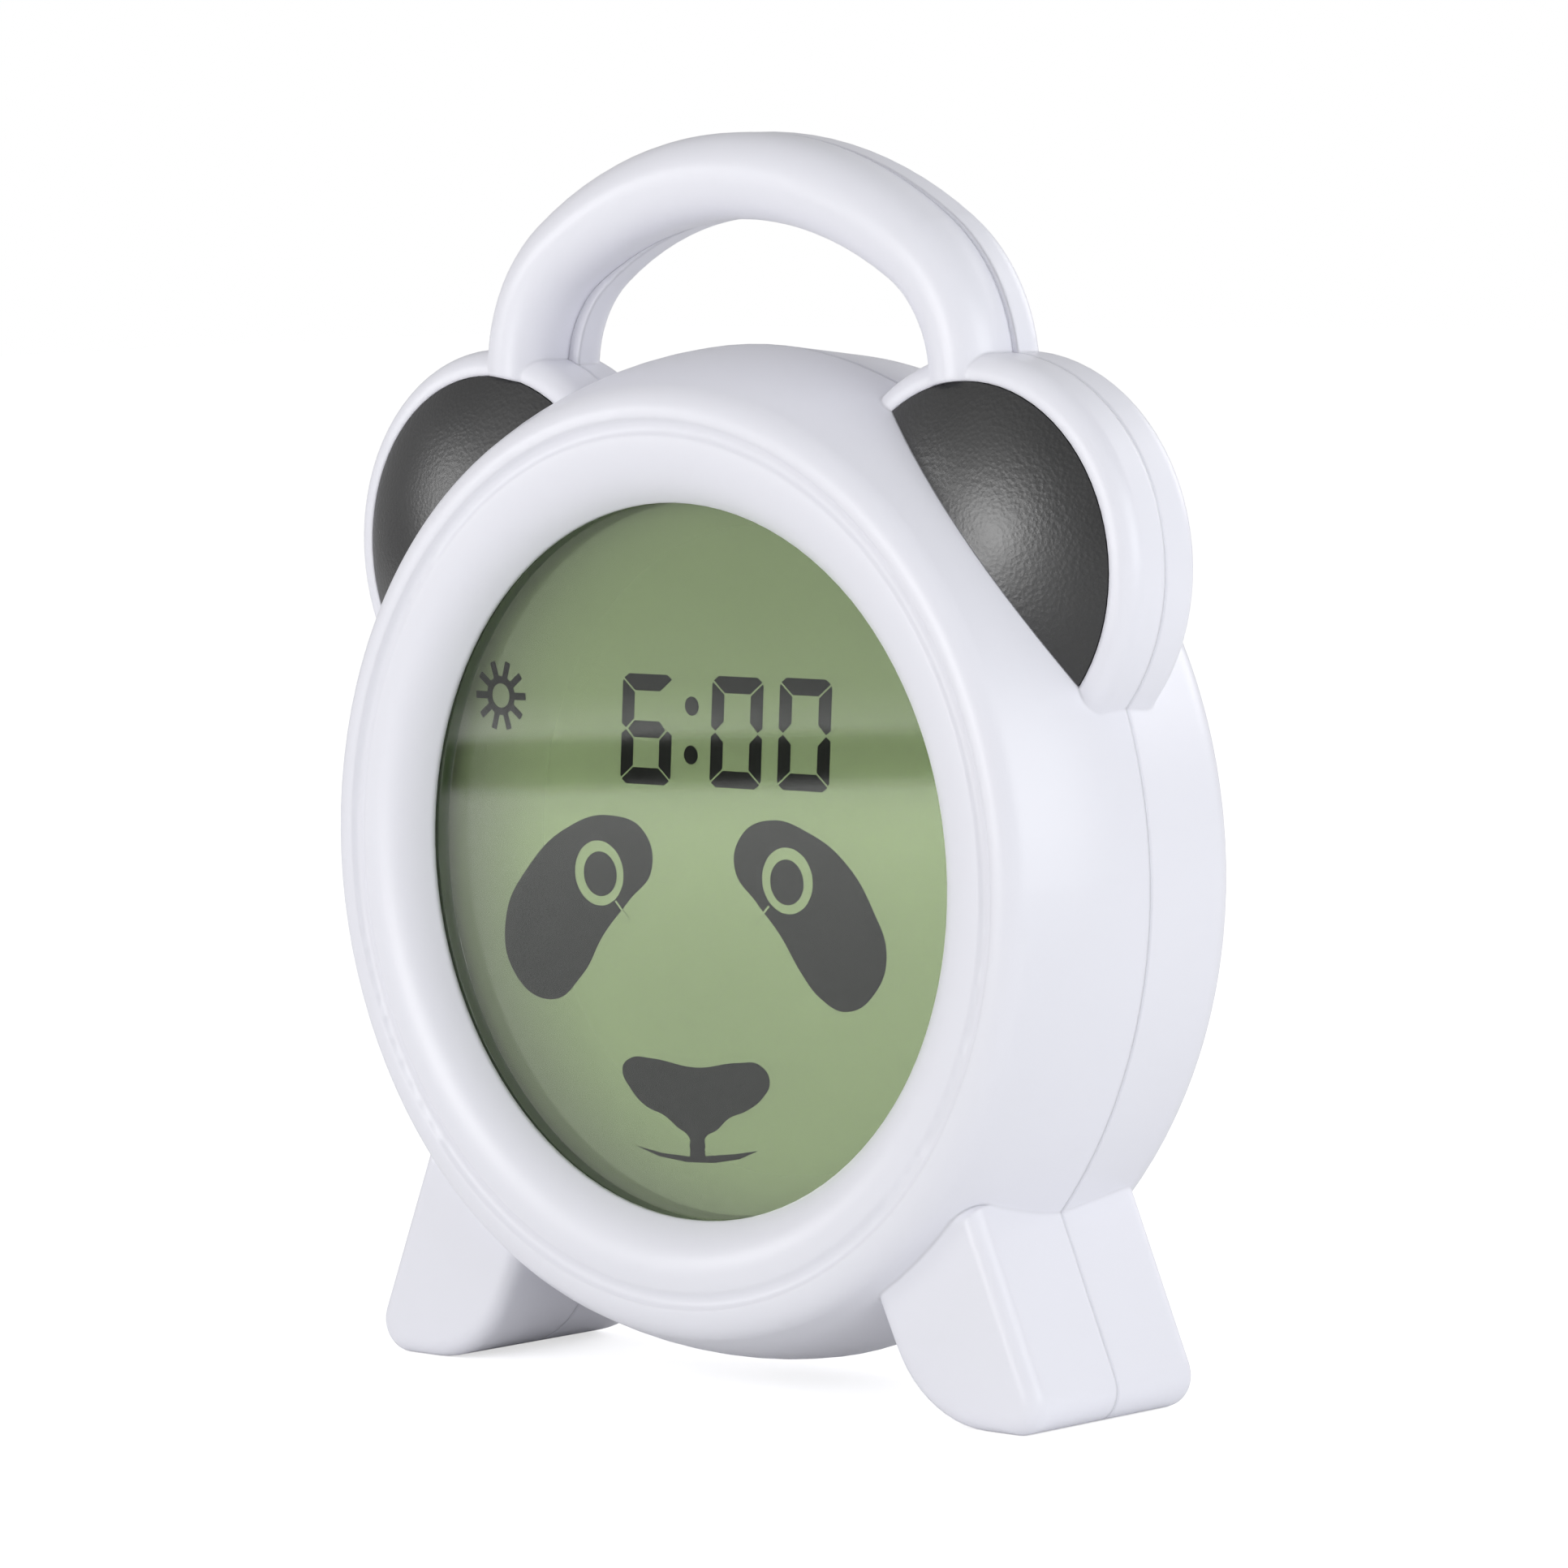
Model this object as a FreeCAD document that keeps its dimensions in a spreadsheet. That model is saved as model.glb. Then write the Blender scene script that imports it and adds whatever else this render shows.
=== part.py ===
import FreeCAD, Part
import math
import os
import re
import Sketcher

# Kids alarm clock with a night light: a round head with two ears, a carrying handle and two feet.
# The head, ears, handle and feet are one moulding split at a parting plane into a front shell and
# a rear shell. Sketches and primitives are drawn in head coordinates: the origin is the centre of
# the head on the parting plane, X to the right, Y towards the back, Z up. Each sub-part is then
# placed so that the feet stand on Z = 0 and the depth is centred on Y = 0.

os.makedirs("parts", exist_ok=True)
doc = FreeCAD.newDocument("alarm_clock")

SIZES = {
    "head_radius": 70, "head_height": 73, "widest": 2.8, "wall": 2.6,
    "ring_inset": 8.8, "ring_edge": 4.3, "ring_front": 21.2,
    "bezel_inset": 4.2, "bezel_front": 21,
    "groove_inset": 1.7, "groove_half": 1.15, "groove_round": 1.6,
    "window_radius": 49, "window_depth": 16.5, "window_lip": 0.5,
    "rear_depth": 23.1, "rear_edge": 9, "rear_taper": 0.12, "seam": 0.35,
    "tongue_depth": 1.6, "tongue_wall": 1.2, "fit_gap": 0.15, "seat_gap": 0.3,
    "ear_side": 45.4, "ear_up": 41.1, "ear_radius": 28, "ear_front": 7.1, "ear_rear": 7.4, "ear_edge": 3,
    "ear_rim": 3.6, "panel_rise": 6.6, "panel_inset": 1.2,
    "handle_sink": 3.3, "handle_half": 47.6, "handle_rise": 33, "handle_side": 11.2, "handle_top": 11.8,
    "handle_front": 8, "handle_round": 5.4, "handle_foot": 4.5, "handle_shoulder": 26, "handle_armpit": 15,
    "grip_over": 0.9, "grip_side": 14.1, "grip_top": 11.6, "grip_rear": 5.9, "grip_round": 3,
    "foot_top": 43, "foot_in_top": 27.4, "foot_in_base": 41.5, "foot_out_top": 52.1, "foot_out_base": 64.9,
    "foot_front": 16.5, "foot_rear": 16.5, "foot_round_in": 17, "foot_round_out": 4.5, "foot_edge": 2.4,
    "lens_margin": 2.2, "lens_thick": 1.8, "rib_wall": 1.9, "rib_over": 1.7,
    "gasket_wall": 1.8, "gasket_thick": 2,
    "lcd_inset": 0.2, "lcd_nip": 1, "lcd_thick": 2.2,
    "led_gap": 1, "guide_thick": 3, "foil_thick": 0.4,
    "frame_wall": 2, "frame_plate": 1.6, "lug_lap": 1, "frame_boss_radius": 3, "lug_reach": 3.7,
    "strip_half": 18, "strip_width": 2, "strip_inset": 0.9,
    "board_thick": 1.6, "display_board_half": 32, "board_over": 1.5,
    "led_row_half": 20, "led_board": 0.8, "led_size": 1.6, "led_depth": 1,
    "case_boss": 3.6, "post_wall": 1.4, "case_seat": 8,
    "screw_shank": 1.45, "screw_head": 2.7, "screw_head_thick": 1.9, "screw_reach": 9,
    "small_shank": 0.9, "small_play": 0.1, "small_head": 1.8, "small_head_thick": 1.2, "small_reach": 5,
    "keys_up": 18, "key_pitch": 16, "key_radius": 4.4, "flange_lap": 1, "key_flange_thick": 1.2, "key_stem": 2,
    "key_travel": 0.5, "key_proud": 0.8, "key_recess": 1, "recess_margin": 2.8, "recess_ease": 1,
    "key_board_over": 3.5, "key_board_rise": 10, "key_board_depth": 11, "key_post": 2.2, "key_post_gap": 0.3,
    "key_post_rise": 7, "switch_half": 3, "switch_body": 3.5, "switch_tip": 1.7, "switch_stroke": 0.6,
    "speaker_up": 43, "speaker_radius": 14, "speaker_thick": 4.6, "speaker_rib": 1.5, "clamp_thick": 1.4,
    "clamp_lap": 2.2, "clamp_lug": 2.6, "clamp_screw_at": 17.6, "grille_hole": 1.05, "grille_pitch": 4.4,
    "cell_radius": 7.25, "cell_length": 50.5, "cell_pitch": 15.2,
    "cell_down": 27, "cell_nub": 2.6, "cell_nub_rise": 1.2,
    "contact_room": 3.25, "bay_margin": 0.4, "bay_wall": 1.8,
    "door_lap": 1.5, "door_thick": 2, "door_corner": 4,
    "door_tongue": 6, "door_tongue_rise": 8.5, "door_screw_up": 2.4,
    "door_lug": 4, "door_lug_depth": 5, "door_lug_wall": 1.6, "door_post": 3.6,
    "contact_thick": 0.4, "contact_width": 9, "contact_bow": 1.6,
}

# Sizes that follow from the ones above, so that pieces which meet keep meeting.
TIED = {
    "ring_radius": "head_radius - ring_inset",
    "groove_radius": "ring_radius - groove_inset",
    "bezel_radius": "ring_radius - bezel_inset",
    "panel_radius": "ear_radius - ear_rim",
    "handle_up": "ear_up + ear_radius - handle_sink",
    "grip_half": "handle_half + grip_over",
    "lcd_half": "window_radius + lens_margin - lcd_inset",
    "lcd_corner": "lcd_half - lcd_nip",
    "guide_half": "lcd_half - led_board - led_depth - led_gap",
    "frame_lug": "frame_boss_radius + lug_lap",
    "frame_boss_at": "lcd_half + seat_gap + frame_wall + frame_boss_radius + lug_reach",
    "strip_edge": "lcd_half - strip_inset",
    "display_board_rise": "lcd_half + board_over",
    "screw_hole": "screw_shank + fit_gap",
    "small_hole": "small_shank + small_play",
    "case_screw_at": "window_radius + lens_margin + rib_wall + case_boss + 2 * fit_gap",
    "case_bore": "screw_head + seat_gap",
    "case_post": "case_bore + post_wall",
    "key_flange": "key_radius + flange_lap",
    "recess_half": "key_radius + recess_margin",
    "recess_reach": "key_pitch * 2.5 + recess_ease",
    "key_post_side": "recess_reach + recess_half + key_post_gap",
    "key_board_half": "key_post_side + key_board_over",
    "bay_half": "cell_length / 2 + contact_room",
}

sheet = doc.addObject("Spreadsheet::Sheet", "Sizes")
NAMES = []
for row, (alias, number) in enumerate(SIZES.items(), 1):
    sheet.set("A%d" % row, alias)
    sheet.set("B%d" % row, str(number))
    sheet.setAlias("B%d" % row, alias)
    NAMES.append(alias)
doc.recompute()


# Expressions name the sheet's aliases; bound() adds the sheet and value() gives the number.
def bound(text):
    def swap(match):
        word = match.group(0)
        if word in TIED:
            return "(%s)" % bound(TIED[word])
        return "Sizes." + word if word in NAMES else word
    return re.sub(r"[a-z][a-z_0-9]*", swap, str(text))


def value(text):
    return float(sheet.evalExpression(bound(text)))


def bind(item, path, text):
    item.setExpression(path, bound(text))


# Sketches: every point is held by its two distances from the origin, every arc by its radius.
# Point 1 of a line or an arc is its start, point 2 its end and point 3 an arc's centre.
def hold(sketch, index, point, across, up):
    for kind, text in (("DistanceX", across), ("DistanceY", up)):
        made = sketch.addConstraint(Sketcher.Constraint(kind, -1, 1, index, point, value(text)))
        bind(sketch, "Constraints[%d]" % made, text)


def arc_middle(start, end, radius, side):
    chord = end - start
    half = chord.Length / 2.0
    left = FreeCAD.Vector(-chord.y, chord.x, 0).normalize() * side
    centre = (start + end) * 0.5 + left * math.sqrt(max(radius * radius - half * half, 0))
    return centre - left * radius


def outline(sketch, corners):
    # A corner is (across, up) or (across, up, radius, side): the run that leaves it is then an arc
    # whose centre lies to the left (side 1) or the right (side -1) of the way to the next corner.
    spots = [FreeCAD.Vector(value(c[0]), value(c[1]), 0) for c in corners]
    starts = []
    for number, corner in enumerate(corners):
        start, end = spots[number], spots[(number + 1) % len(spots)]
        if len(corner) == 2:
            index = sketch.addGeometry(Part.LineSegment(start, end))
        else:
            middle = arc_middle(start, end, value(corner[2]), corner[3])
            index = sketch.addGeometry(Part.Arc(start, middle, end))
            made = sketch.addConstraint(Sketcher.Constraint("Radius", index, value(corner[2])))
            bind(sketch, "Constraints[%d]" % made, corner[2])
        near = (sketch.getPoint(index, 1) - start).Length < (sketch.getPoint(index, 2) - start).Length
        starts.append((index, 1 if near else 2))
    for number, (index, point) in enumerate(starts):
        before, before_start = starts[number - 1]
        sketch.addConstraint(Sketcher.Constraint("Coincident", before, 3 - before_start, index, point))
        hold(sketch, index, point, corners[number][0], corners[number][1])


def ring_line(sketch, across, up, radius):
    centre = FreeCAD.Vector(value(across), value(up), 0)
    index = sketch.addGeometry(Part.Circle(centre, FreeCAD.Vector(0, 0, 1), value(radius)))
    hold(sketch, index, 3, across, up)
    made = sketch.addConstraint(Sketcher.Constraint("Radius", index, value(radius)))
    bind(sketch, "Constraints[%d]" % made, radius)


def new_sketch(body, name, role, y="0"):
    sketch = body.newObject("Sketcher::SketchObject", name)
    base = next(item for item in body.Origin.OriginFeatures if item.Role == role)
    sketch.AttachmentSupport = [(base, "")]
    sketch.MapMode = "FlatFace"
    if y != "0":
        bind(sketch, "AttachmentOffset.Base.z", "-(%s)" % y)
    return sketch


# A prism is drawn on the plane Y = start and padded to Y = end.
def prism(name, draw, start, end):
    body = doc.addObject("PartDesign::Body", name)
    sketch = new_sketch(body, name + "_outline", "XZ_Plane", start)
    draw(sketch)
    pad = body.newObject("PartDesign::Pad", name + "_pad")
    pad.Profile = sketch
    pad.Reversed = True
    bind(pad, "Length", "(%s) - (%s)" % (end, start))
    return body


# A turned form is drawn as radius against Y and revolved about the head's axis.
def turned(name, corners):
    body = doc.addObject("PartDesign::Body", name)
    sketch = new_sketch(body, name + "_profile", "XY_Plane")
    outline(sketch, corners)
    turn = body.newObject("PartDesign::Revolution", name + "_turn")
    turn.Profile = sketch
    turn.ReferenceAxis = (sketch, ["V_Axis"])
    turn.Angle = 360
    return body


def dress(body, kind, prop, radius, choose):
    doc.recompute()
    base = body.Tip
    picked = ["Edge%d" % (n + 1) for n, edge in enumerate(base.Shape.Edges) if choose(edge)]
    if not picked:
        raise RuntimeError("no edge to round on " + body.Label)
    feature = body.newObject("PartDesign::" + kind, body.Name + "_" + kind.lower())
    feature.Base = (base, picked)
    bind(feature, prop, radius)
    doc.recompute()
    return body


def at_depth(y):
    return lambda edge: all(abs(v.Point.y - value(y)) < 1e-4 for v in edge.Vertexes)


def rod(name, across, up, radius, start, end):
    item = doc.addObject("Part::Cylinder", name)
    item.Placement = FreeCAD.Placement(FreeCAD.Vector(), FreeCAD.Rotation(FreeCAD.Vector(1, 0, 0), -90))
    bind(item, "Radius", radius)
    bind(item, "Height", "(%s) - (%s)" % (end, start))
    bind(item, "Placement.Base.x", across)
    bind(item, "Placement.Base.y", start)
    bind(item, "Placement.Base.z", up)
    return item


def block(name, left, right, start, end, low, high):
    item = doc.addObject("Part::Box", name)
    bind(item, "Length", "(%s) - (%s)" % (right, left))
    bind(item, "Width", "(%s) - (%s)" % (end, start))
    bind(item, "Height", "(%s) - (%s)" % (high, low))
    bind(item, "Placement.Base.x", left)
    bind(item, "Placement.Base.y", start)
    bind(item, "Placement.Base.z", low)
    return item


def fuse(name, items):
    item = doc.addObject("Part::MultiFuse", name)
    item.Shapes = items
    return item


def cut(name, base, tools):
    item = doc.addObject("Part::Cut", name)
    item.Base = base
    item.Tool = tools[0] if len(tools) == 1 else fuse(name + "_tools", tools)
    return item


def common(name, first, second):
    item = doc.addObject("Part::Common", name)
    item.Base = first
    item.Tool = second
    return item


PARTS = []


def finish(item, label):
    item.Label = label
    bind(item, "Placement.Base.y", "(ring_front - rear_depth) / 2")
    bind(item, "Placement.Base.z", "head_height")
    PARTS.append(item)


def finish_set(items, label):
    item = doc.addObject("Part::Compound", label + "_set")
    item.Links = items
    finish(item, label)


# Head profile, as radius against Y. The side is one long arc, the front ring's crown a short one.
reach = "(ring_front - ring_edge)"
side_arc = ("(((head_radius - ring_radius)^2 + (widest + %s)^2 - ring_edge^2)"
            " / (2 * (head_radius - ring_radius - ring_edge)))" % reach)
side_at = "(head_radius - %s)" % side_arc
bezel_drop = "(bezel_front - window_depth)"
bezel_arc = "(((bezel_radius - window_radius)^2 + %s^2) / (2 * %s))" % (bezel_drop, bezel_drop)
groove_in = "(groove_radius - groove_half)"
groove_out = "(groove_radius + groove_half)"


def parting_radius(offset):
    return "(%s + sqrt((%s + (%s))^2 - widest^2))" % (side_at, side_arc, offset)


def crown_corner(offset):
    edge = "(ring_edge + (%s))" % offset
    span = "(%s - ring_edge)" % side_arc
    across = "ring_radius + %s * (ring_radius - %s) / %s" % (edge, side_at, span)
    up = "-%s - %s * (widest + %s) / %s" % (reach, edge, reach, span)
    return across, up


def head_side(offset):
    side = "%s + (%s)" % (side_arc, offset)
    return [(parting_radius(offset), "0", side, -1),
            crown_corner(offset) + ("ring_edge + (%s)" % offset, -1)]


ring_top = "-%s - sqrt(ring_edge^2 - (ring_radius - %s)^2)" % (reach, groove_out)
bezel_top = "-(bezel_front - %s) - sqrt(%s^2 - (%s - bezel_radius)^2)" % (bezel_arc, bezel_arc, groove_in)
head_front = turned("head_front", head_side("0") + [
    (groove_out, ring_top, "groove_round", 1),
    (groove_in, bezel_top, bezel_arc, -1),
    ("window_radius", "-window_depth"),
    ("0", "-window_depth"),
    ("0", "0")])
head_clear = turned("head_clear", head_side("fit_gap") + [
    ("ring_radius", "-(ring_front + fit_gap)"),
    ("0", "-(ring_front + fit_gap)"),
    ("0", "0")])

# Hollow of the front half: the wall follows the head, a rib stands round the lens.
lens_radius = "(window_radius + lens_margin)"
lens_front = "(window_depth - window_lip)"
lens_rear = "(%s - lens_thick)" % lens_front
rib_rear = "(%s - rib_over)" % lens_rear
inner_front = "(ring_front - wall)"
front_hollow = turned("front_hollow", head_side("-wall") + [
    ("ring_radius", "-%s" % inner_front),
    ("%s + fit_gap + rib_wall" % lens_radius, "-%s" % inner_front),
    ("%s + fit_gap + rib_wall" % lens_radius, "-%s" % rib_rear),
    ("%s + fit_gap" % lens_radius, "-%s" % rib_rear),
    ("%s + fit_gap" % lens_radius, "-%s" % lens_front),
    ("window_radius", "-%s" % lens_front),
    ("window_radius", "-(ring_front + wall)"),
    ("0", "-(ring_front + wall)"),
    ("0", "0")])

# Rear half of the head: tapered side, rounded rear edge, flat back.
rear_slope = "sqrt(1 + rear_taper^2)"
rear_flat = "(%s - (rear_depth - rear_edge) * rear_taper - rear_edge * %s)" % (parting_radius("0"), rear_slope)


def rear_corner(edge):
    across = "%s + (%s) / %s" % (rear_flat, edge, rear_slope)
    up = "rear_depth - rear_edge + (%s) * rear_taper / %s" % (edge, rear_slope)
    return across, up


head_rear = turned("head_rear", [
    (parting_radius("0") + " - seam", "0"),
    (parting_radius("0"), "seam"),
    rear_corner("rear_edge") + ("rear_edge", 1),
    (rear_flat, "rear_depth"),
    ("0", "rear_depth"),
    ("0", "0")])
rear_hollow = turned("rear_hollow", [
    (parting_radius("0") + " - wall * %s" % rear_slope, "-tongue_depth - wall"),
    (parting_radius("0") + " - wall * %s" % rear_slope, "0"),
    rear_corner("rear_edge - wall") + ("rear_edge - wall", 1),
    (rear_flat, "rear_depth - wall"),
    ("0", "rear_depth - wall"),
    ("0", "-tongue_depth - wall")])


# Ears: a disc on each side, split at the parting plane.
def ear(name, sign, start, end, outer_y, seam_y):
    side = "%s * ear_side" % sign
    body = prism(name, lambda sk: ring_line(sk, side, "ear_up", "ear_radius"), start, end)
    dress(body, "Fillet", "Radius", "ear_edge", at_depth(outer_y))
    if seam_y:
        dress(body, "Chamfer", "Size", "seam", at_depth(seam_y))
    return body


# Handle: a three-centred bow on short legs, nearly half round in front, flatter and wider behind.
def arch(half, rise, shoulder):
    # Points of one arch line, left to right: two shoulders of one radius and a flatter crown.
    side = "((%s) - %s)" % (half, shoulder)
    crown = "((%s^2 + (%s)^2 - %s^2) / (2 * ((%s) - %s)))" % (side, rise, shoulder, rise, shoulder)
    share = "(%s / (%s - %s))" % (shoulder, crown, shoulder)
    across = "(%s * (1 + %s))" % (side, share)
    up = "(handle_up + %s * (%s - (%s)))" % (share, crown, rise)
    ends = [("-(%s)" % half, "handle_up"), ("-" + across, up), (across, up), (half, "handle_up")]
    return ends, (shoulder, crown, shoulder)


def bow(name, half, side, top, start, end, outer_y, rounding):
    foot_line = "handle_up - handle_foot"

    def draw(sk):
        over, radii = arch(half, "handle_rise", "handle_shoulder")
        under, inner_radii = arch("%s - %s" % (half, side), "handle_rise - %s" % top, "handle_armpit")
        points = [("-(%s)" % half, foot_line)]
        points += [over[n] + (radii[n], -1) for n in range(3)] + [over[3], (half, foot_line)]
        points.append(("%s - %s" % (half, side), foot_line))
        back = under[::-1]
        points += [back[n] + (inner_radii[n], 1) for n in range(3)]
        points += [back[3], ("-(%s - %s)" % (half, side), foot_line)]
        outline(sk, points)
    body = prism(name, draw, start, end)
    low = value(foot_line)
    front = at_depth(outer_y)
    return dress(body, "Fillet", "Radius", rounding,
                 lambda edge: front(edge) and any(v.Point.z > low + 1e-3 for v in edge.Vertexes))


# Feet: splayed legs with rounded soles, flat on the ground.
def foot(name, sign, start, end, outer_y, seam_y):
    points = [("foot_in_top", "-foot_top"), ("foot_in_base", "-head_height"),
              ("foot_out_base", "-head_height"), ("foot_out_top", "-foot_top")]
    body = prism(name, lambda sk: outline(sk, [("%s * %s" % (sign, x), z) for x, z in points]), start, end)

    def corner(x, z):
        spot = (value("%s * %s" % (sign, x)), value(z))
        return lambda edge: all(math.hypot(v.Point.x - spot[0], v.Point.z - spot[1]) < 1e-4
                                for v in edge.Vertexes)
    dress(body, "Fillet", "Radius", "foot_round_in", corner("foot_in_base", "-head_height"))
    dress(body, "Fillet", "Radius", "foot_round_out", corner("foot_out_base", "-head_height"))
    dress(body, "Fillet", "Radius", "foot_edge", at_depth(outer_y))
    if seam_y:
        dress(body, "Chamfer", "Size", "seam", at_depth(seam_y))
    return body


SIDES = (("left", "-1"), ("right", "1"))
front_limbs = [bow("handle_front", "handle_half", "handle_side", "handle_top",
                   "-handle_front", "0", "-handle_front", "handle_round")]
rear_limbs = [bow("handle_rear", "grip_half", "grip_side", "grip_top", "0", "grip_rear", "grip_rear",
                  "grip_round")]
for side, sign in SIDES:
    front_limbs.append(ear("ear_front_" + side, sign, "-ear_front", "0", "-ear_front", None))
    front_limbs.append(foot("foot_front_" + side, sign, "-foot_front", "0", "-foot_front", None))
    rear_limbs.append(ear("ear_rear_" + side, sign, "0", "ear_rear", "ear_rear", "0"))
    rear_limbs.append(foot("foot_rear_" + side, sign, "0", "foot_rear", "foot_rear", "0"))

# Ear panels: domed black insets, seated in a shallow recess and trimmed to the head.
panel_ball = "((panel_radius^2 + panel_rise^2) / (2 * panel_rise))"
front_cuts = [front_hollow]
for side, sign in SIDES:
    across = "%s * ear_side" % sign
    seat = rod("panel_seat_" + side, across, "ear_up", "panel_radius", "-(ear_front + panel_rise)",
               "-(ear_front - panel_inset)")
    front_cuts.append(cut("panel_recess_" + side, seat, [head_front]))
    disc = rod("panel_disc_" + side, across, "ear_up", "panel_radius - fit_gap",
               "-(ear_front + panel_rise + 1)", "-(ear_front - panel_inset)")
    ball = doc.addObject("Part::Sphere", "panel_ball_" + side)
    bind(ball, "Radius", panel_ball)
    bind(ball, "Placement.Base.x", across)
    bind(ball, "Placement.Base.y", "%s - ear_front - panel_rise" % panel_ball)
    bind(ball, "Placement.Base.z", "ear_up")
    finish(cut("panel_" + side, common("panel_dome_" + side, disc, ball), [head_clear]),
           "ear_panel_" + side)


# Places that repeat: four case screws on the diagonals, four display screws on the axes.
def around(count, start, radius):
    return [("%s * cos(%s)" % (radius, start + 360 / count * n), "%s * sin(%s)" % (radius, start + 360 / count * n))
            for n in range(count)]


CASE_SPOTS = around(4, 45, "case_screw_at")
LUG_SPOTS = around(4, 0, "frame_boss_at")
stack_front = "(%s - gasket_thick)" % lens_rear
lcd_rear = "(%s - lcd_thick)" % stack_front
guide_rear = "(%s - guide_thick)" % lcd_rear
foil_rear = "(%s - foil_thick)" % guide_rear
plate_rear = "(%s - frame_plate)" % foil_rear

bosses = []
pilots = []
for n, (across, up) in enumerate(CASE_SPOTS):
    bosses.append(rod("case_boss_%d" % n, across, up, "case_boss", "-(%s + 0.5)" % inner_front, "-seat_gap"))
    pilots.append(rod("case_pilot_%d" % n, across, up, "screw_hole", "-(screw_reach + 1)", "1"))
for n, (across, up) in enumerate(LUG_SPOTS):
    bosses.append(rod("lug_boss_%d" % n, across, up, "frame_boss_radius", "-(%s + 0.5)" % inner_front,
                      "-%s" % foil_rear))
    pilots.append(rod("lug_pilot_%d" % n, across, up, "small_hole", "-(%s + small_reach)" % foil_rear, "0"))
front_skin = cut("front_skin", fuse("front_body", [head_front] + front_limbs), front_cuts)
front_full = fuse("front_bossed", [front_skin] + bosses)
finish(cut("front_drilled", front_full, pilots), "front_shell")

# Window lens, gasket ring and the display stack behind it.
finish(prism("lens", lambda sk: ring_line(sk, "0", "0", lens_radius), "-" + lens_front, "-" + lens_rear),
       "window_lens")


def draw_gasket(sk):
    ring_line(sk, "0", "0", lens_radius)
    ring_line(sk, "0", "0", "%s - gasket_wall" % lens_radius)


finish(prism("gasket", draw_gasket, "-" + lens_rear, "-" + stack_front), "lens_gasket")


def octagon(sk, half, corner, rise=None):
    rise = rise or half
    cut_x = "(%s) * sqrt(2) - (%s)" % (corner, rise)
    cut_z = "(%s) * sqrt(2) - (%s)" % (corner, half)
    quarter = [(cut_x, rise), (half, cut_z)]
    points = []
    for sx, sz in (("1", "1"), ("1", "-1"), ("-1", "-1"), ("-1", "1")):
        turn = quarter if sx == sz else quarter[::-1]
        points += [("%s * (%s)" % (sx, x), "%s * (%s)" % (sz, z)) for x, z in turn]
    outline(sk, points)


finish(prism("lcd", lambda sk: octagon(sk, "lcd_half", "lcd_corner"), "-" + stack_front, "-" + lcd_rear),
       "lcd_glass")
finish(prism("guide", lambda sk: octagon(sk, "guide_half", "guide_half"), "-" + lcd_rear, "-" + guide_rear),
       "light_guide")
finish(prism("foil", lambda sk: octagon(sk, "guide_half", "guide_half"), "-" + guide_rear, "-" + foil_rear),
       "reflector_sheet")

# Display frame: a tray round the stack with four screw lugs and two slots for the connectors.
tray_half = "(lcd_half + seat_gap + frame_wall)"
tray_corner = "(lcd_corner + seat_gap + frame_wall)"
tray = prism("frame_tray", lambda sk: octagon(sk, tray_half, tray_corner), "-(%s - seat_gap)" % stack_front,
             "-" + plate_rear)
tray_room = prism("frame_room", lambda sk: octagon(sk, "lcd_half + seat_gap", "lcd_corner + seat_gap"),
                  "-(%s + 1)" % stack_front, "-" + foil_rear)
frame_cuts = [tray_room]
lugs = []
for n, (across, up) in enumerate(LUG_SPOTS):
    lugs.append(rod("frame_lug_%d" % n, across, up, "frame_lug", "-" + foil_rear, "-" + plate_rear))
    frame_cuts.append(rod("frame_hole_%d" % n, across, up, "small_hole", "-(%s + 1)" % foil_rear, "0"))
lugs.append(block("frame_bridge_across", "-frame_boss_at", "frame_boss_at", "-" + foil_rear,
                  "-" + plate_rear, "-frame_lug", "frame_lug"))
lugs.append(block("frame_bridge_up", "-frame_lug", "frame_lug", "-" + foil_rear, "-" + plate_rear,
                  "-frame_boss_at", "frame_boss_at"))
strips = []
for name, sign in (("top", "1"), ("bottom", "-1")):
    low = "%s * strip_edge - strip_width / 2" % sign
    high = "%s * strip_edge + strip_width / 2" % sign
    strips.append(block("strip_" + name, "-strip_half", "strip_half", "-" + lcd_rear, "-" + plate_rear, low, high))
    frame_cuts.append(block("strip_slot_" + name, "-(strip_half + fit_gap)", "strip_half + fit_gap",
                            "-(%s + 0.1)" % foil_rear, "0", low + " - fit_gap", high + " + fit_gap"))
finish(cut("frame_cut", fuse("frame_full", [tray] + lugs), frame_cuts), "display_frame")
finish_set(strips, "lcd_connectors")
board_rear = "(%s - board_thick)" % plate_rear
display_plate = block("display_board_plate", "-display_board_half", "display_board_half", "-" + plate_rear,
                      "-" + board_rear, "-display_board_rise", "display_board_rise")
finish_set([display_plate], "display_board")

# Night light: an LED row stands at each side of the light guide.
leds = []
for side, sign in SIDES:
    near = "lcd_half - led_board"
    x0, x1 = ("-lcd_half", "-(%s)" % near) if sign == "-1" else (near, "lcd_half")
    leds.append(block("led_strip_" + side, x0, x1, "-" + lcd_rear, "-" + guide_rear, "-led_row_half", "led_row_half"))
    for n in range(4):
        mid = "led_row_half * (%d - 1.5) / 2" % n
        x0, x1 = ("-(%s)" % near, "-(%s - led_depth)" % near) if sign == "-1" else ("%s - led_depth" % near, near)
        leds.append(block("led_%s_%d" % (side, n), x0, x1, "-(%s - 0.5)" % lcd_rear, "-(%s + 0.5)" % guide_rear,
                          mid + " - led_size", mid + " + led_size"))
finish_set(leds, "night_light_leds")


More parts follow.
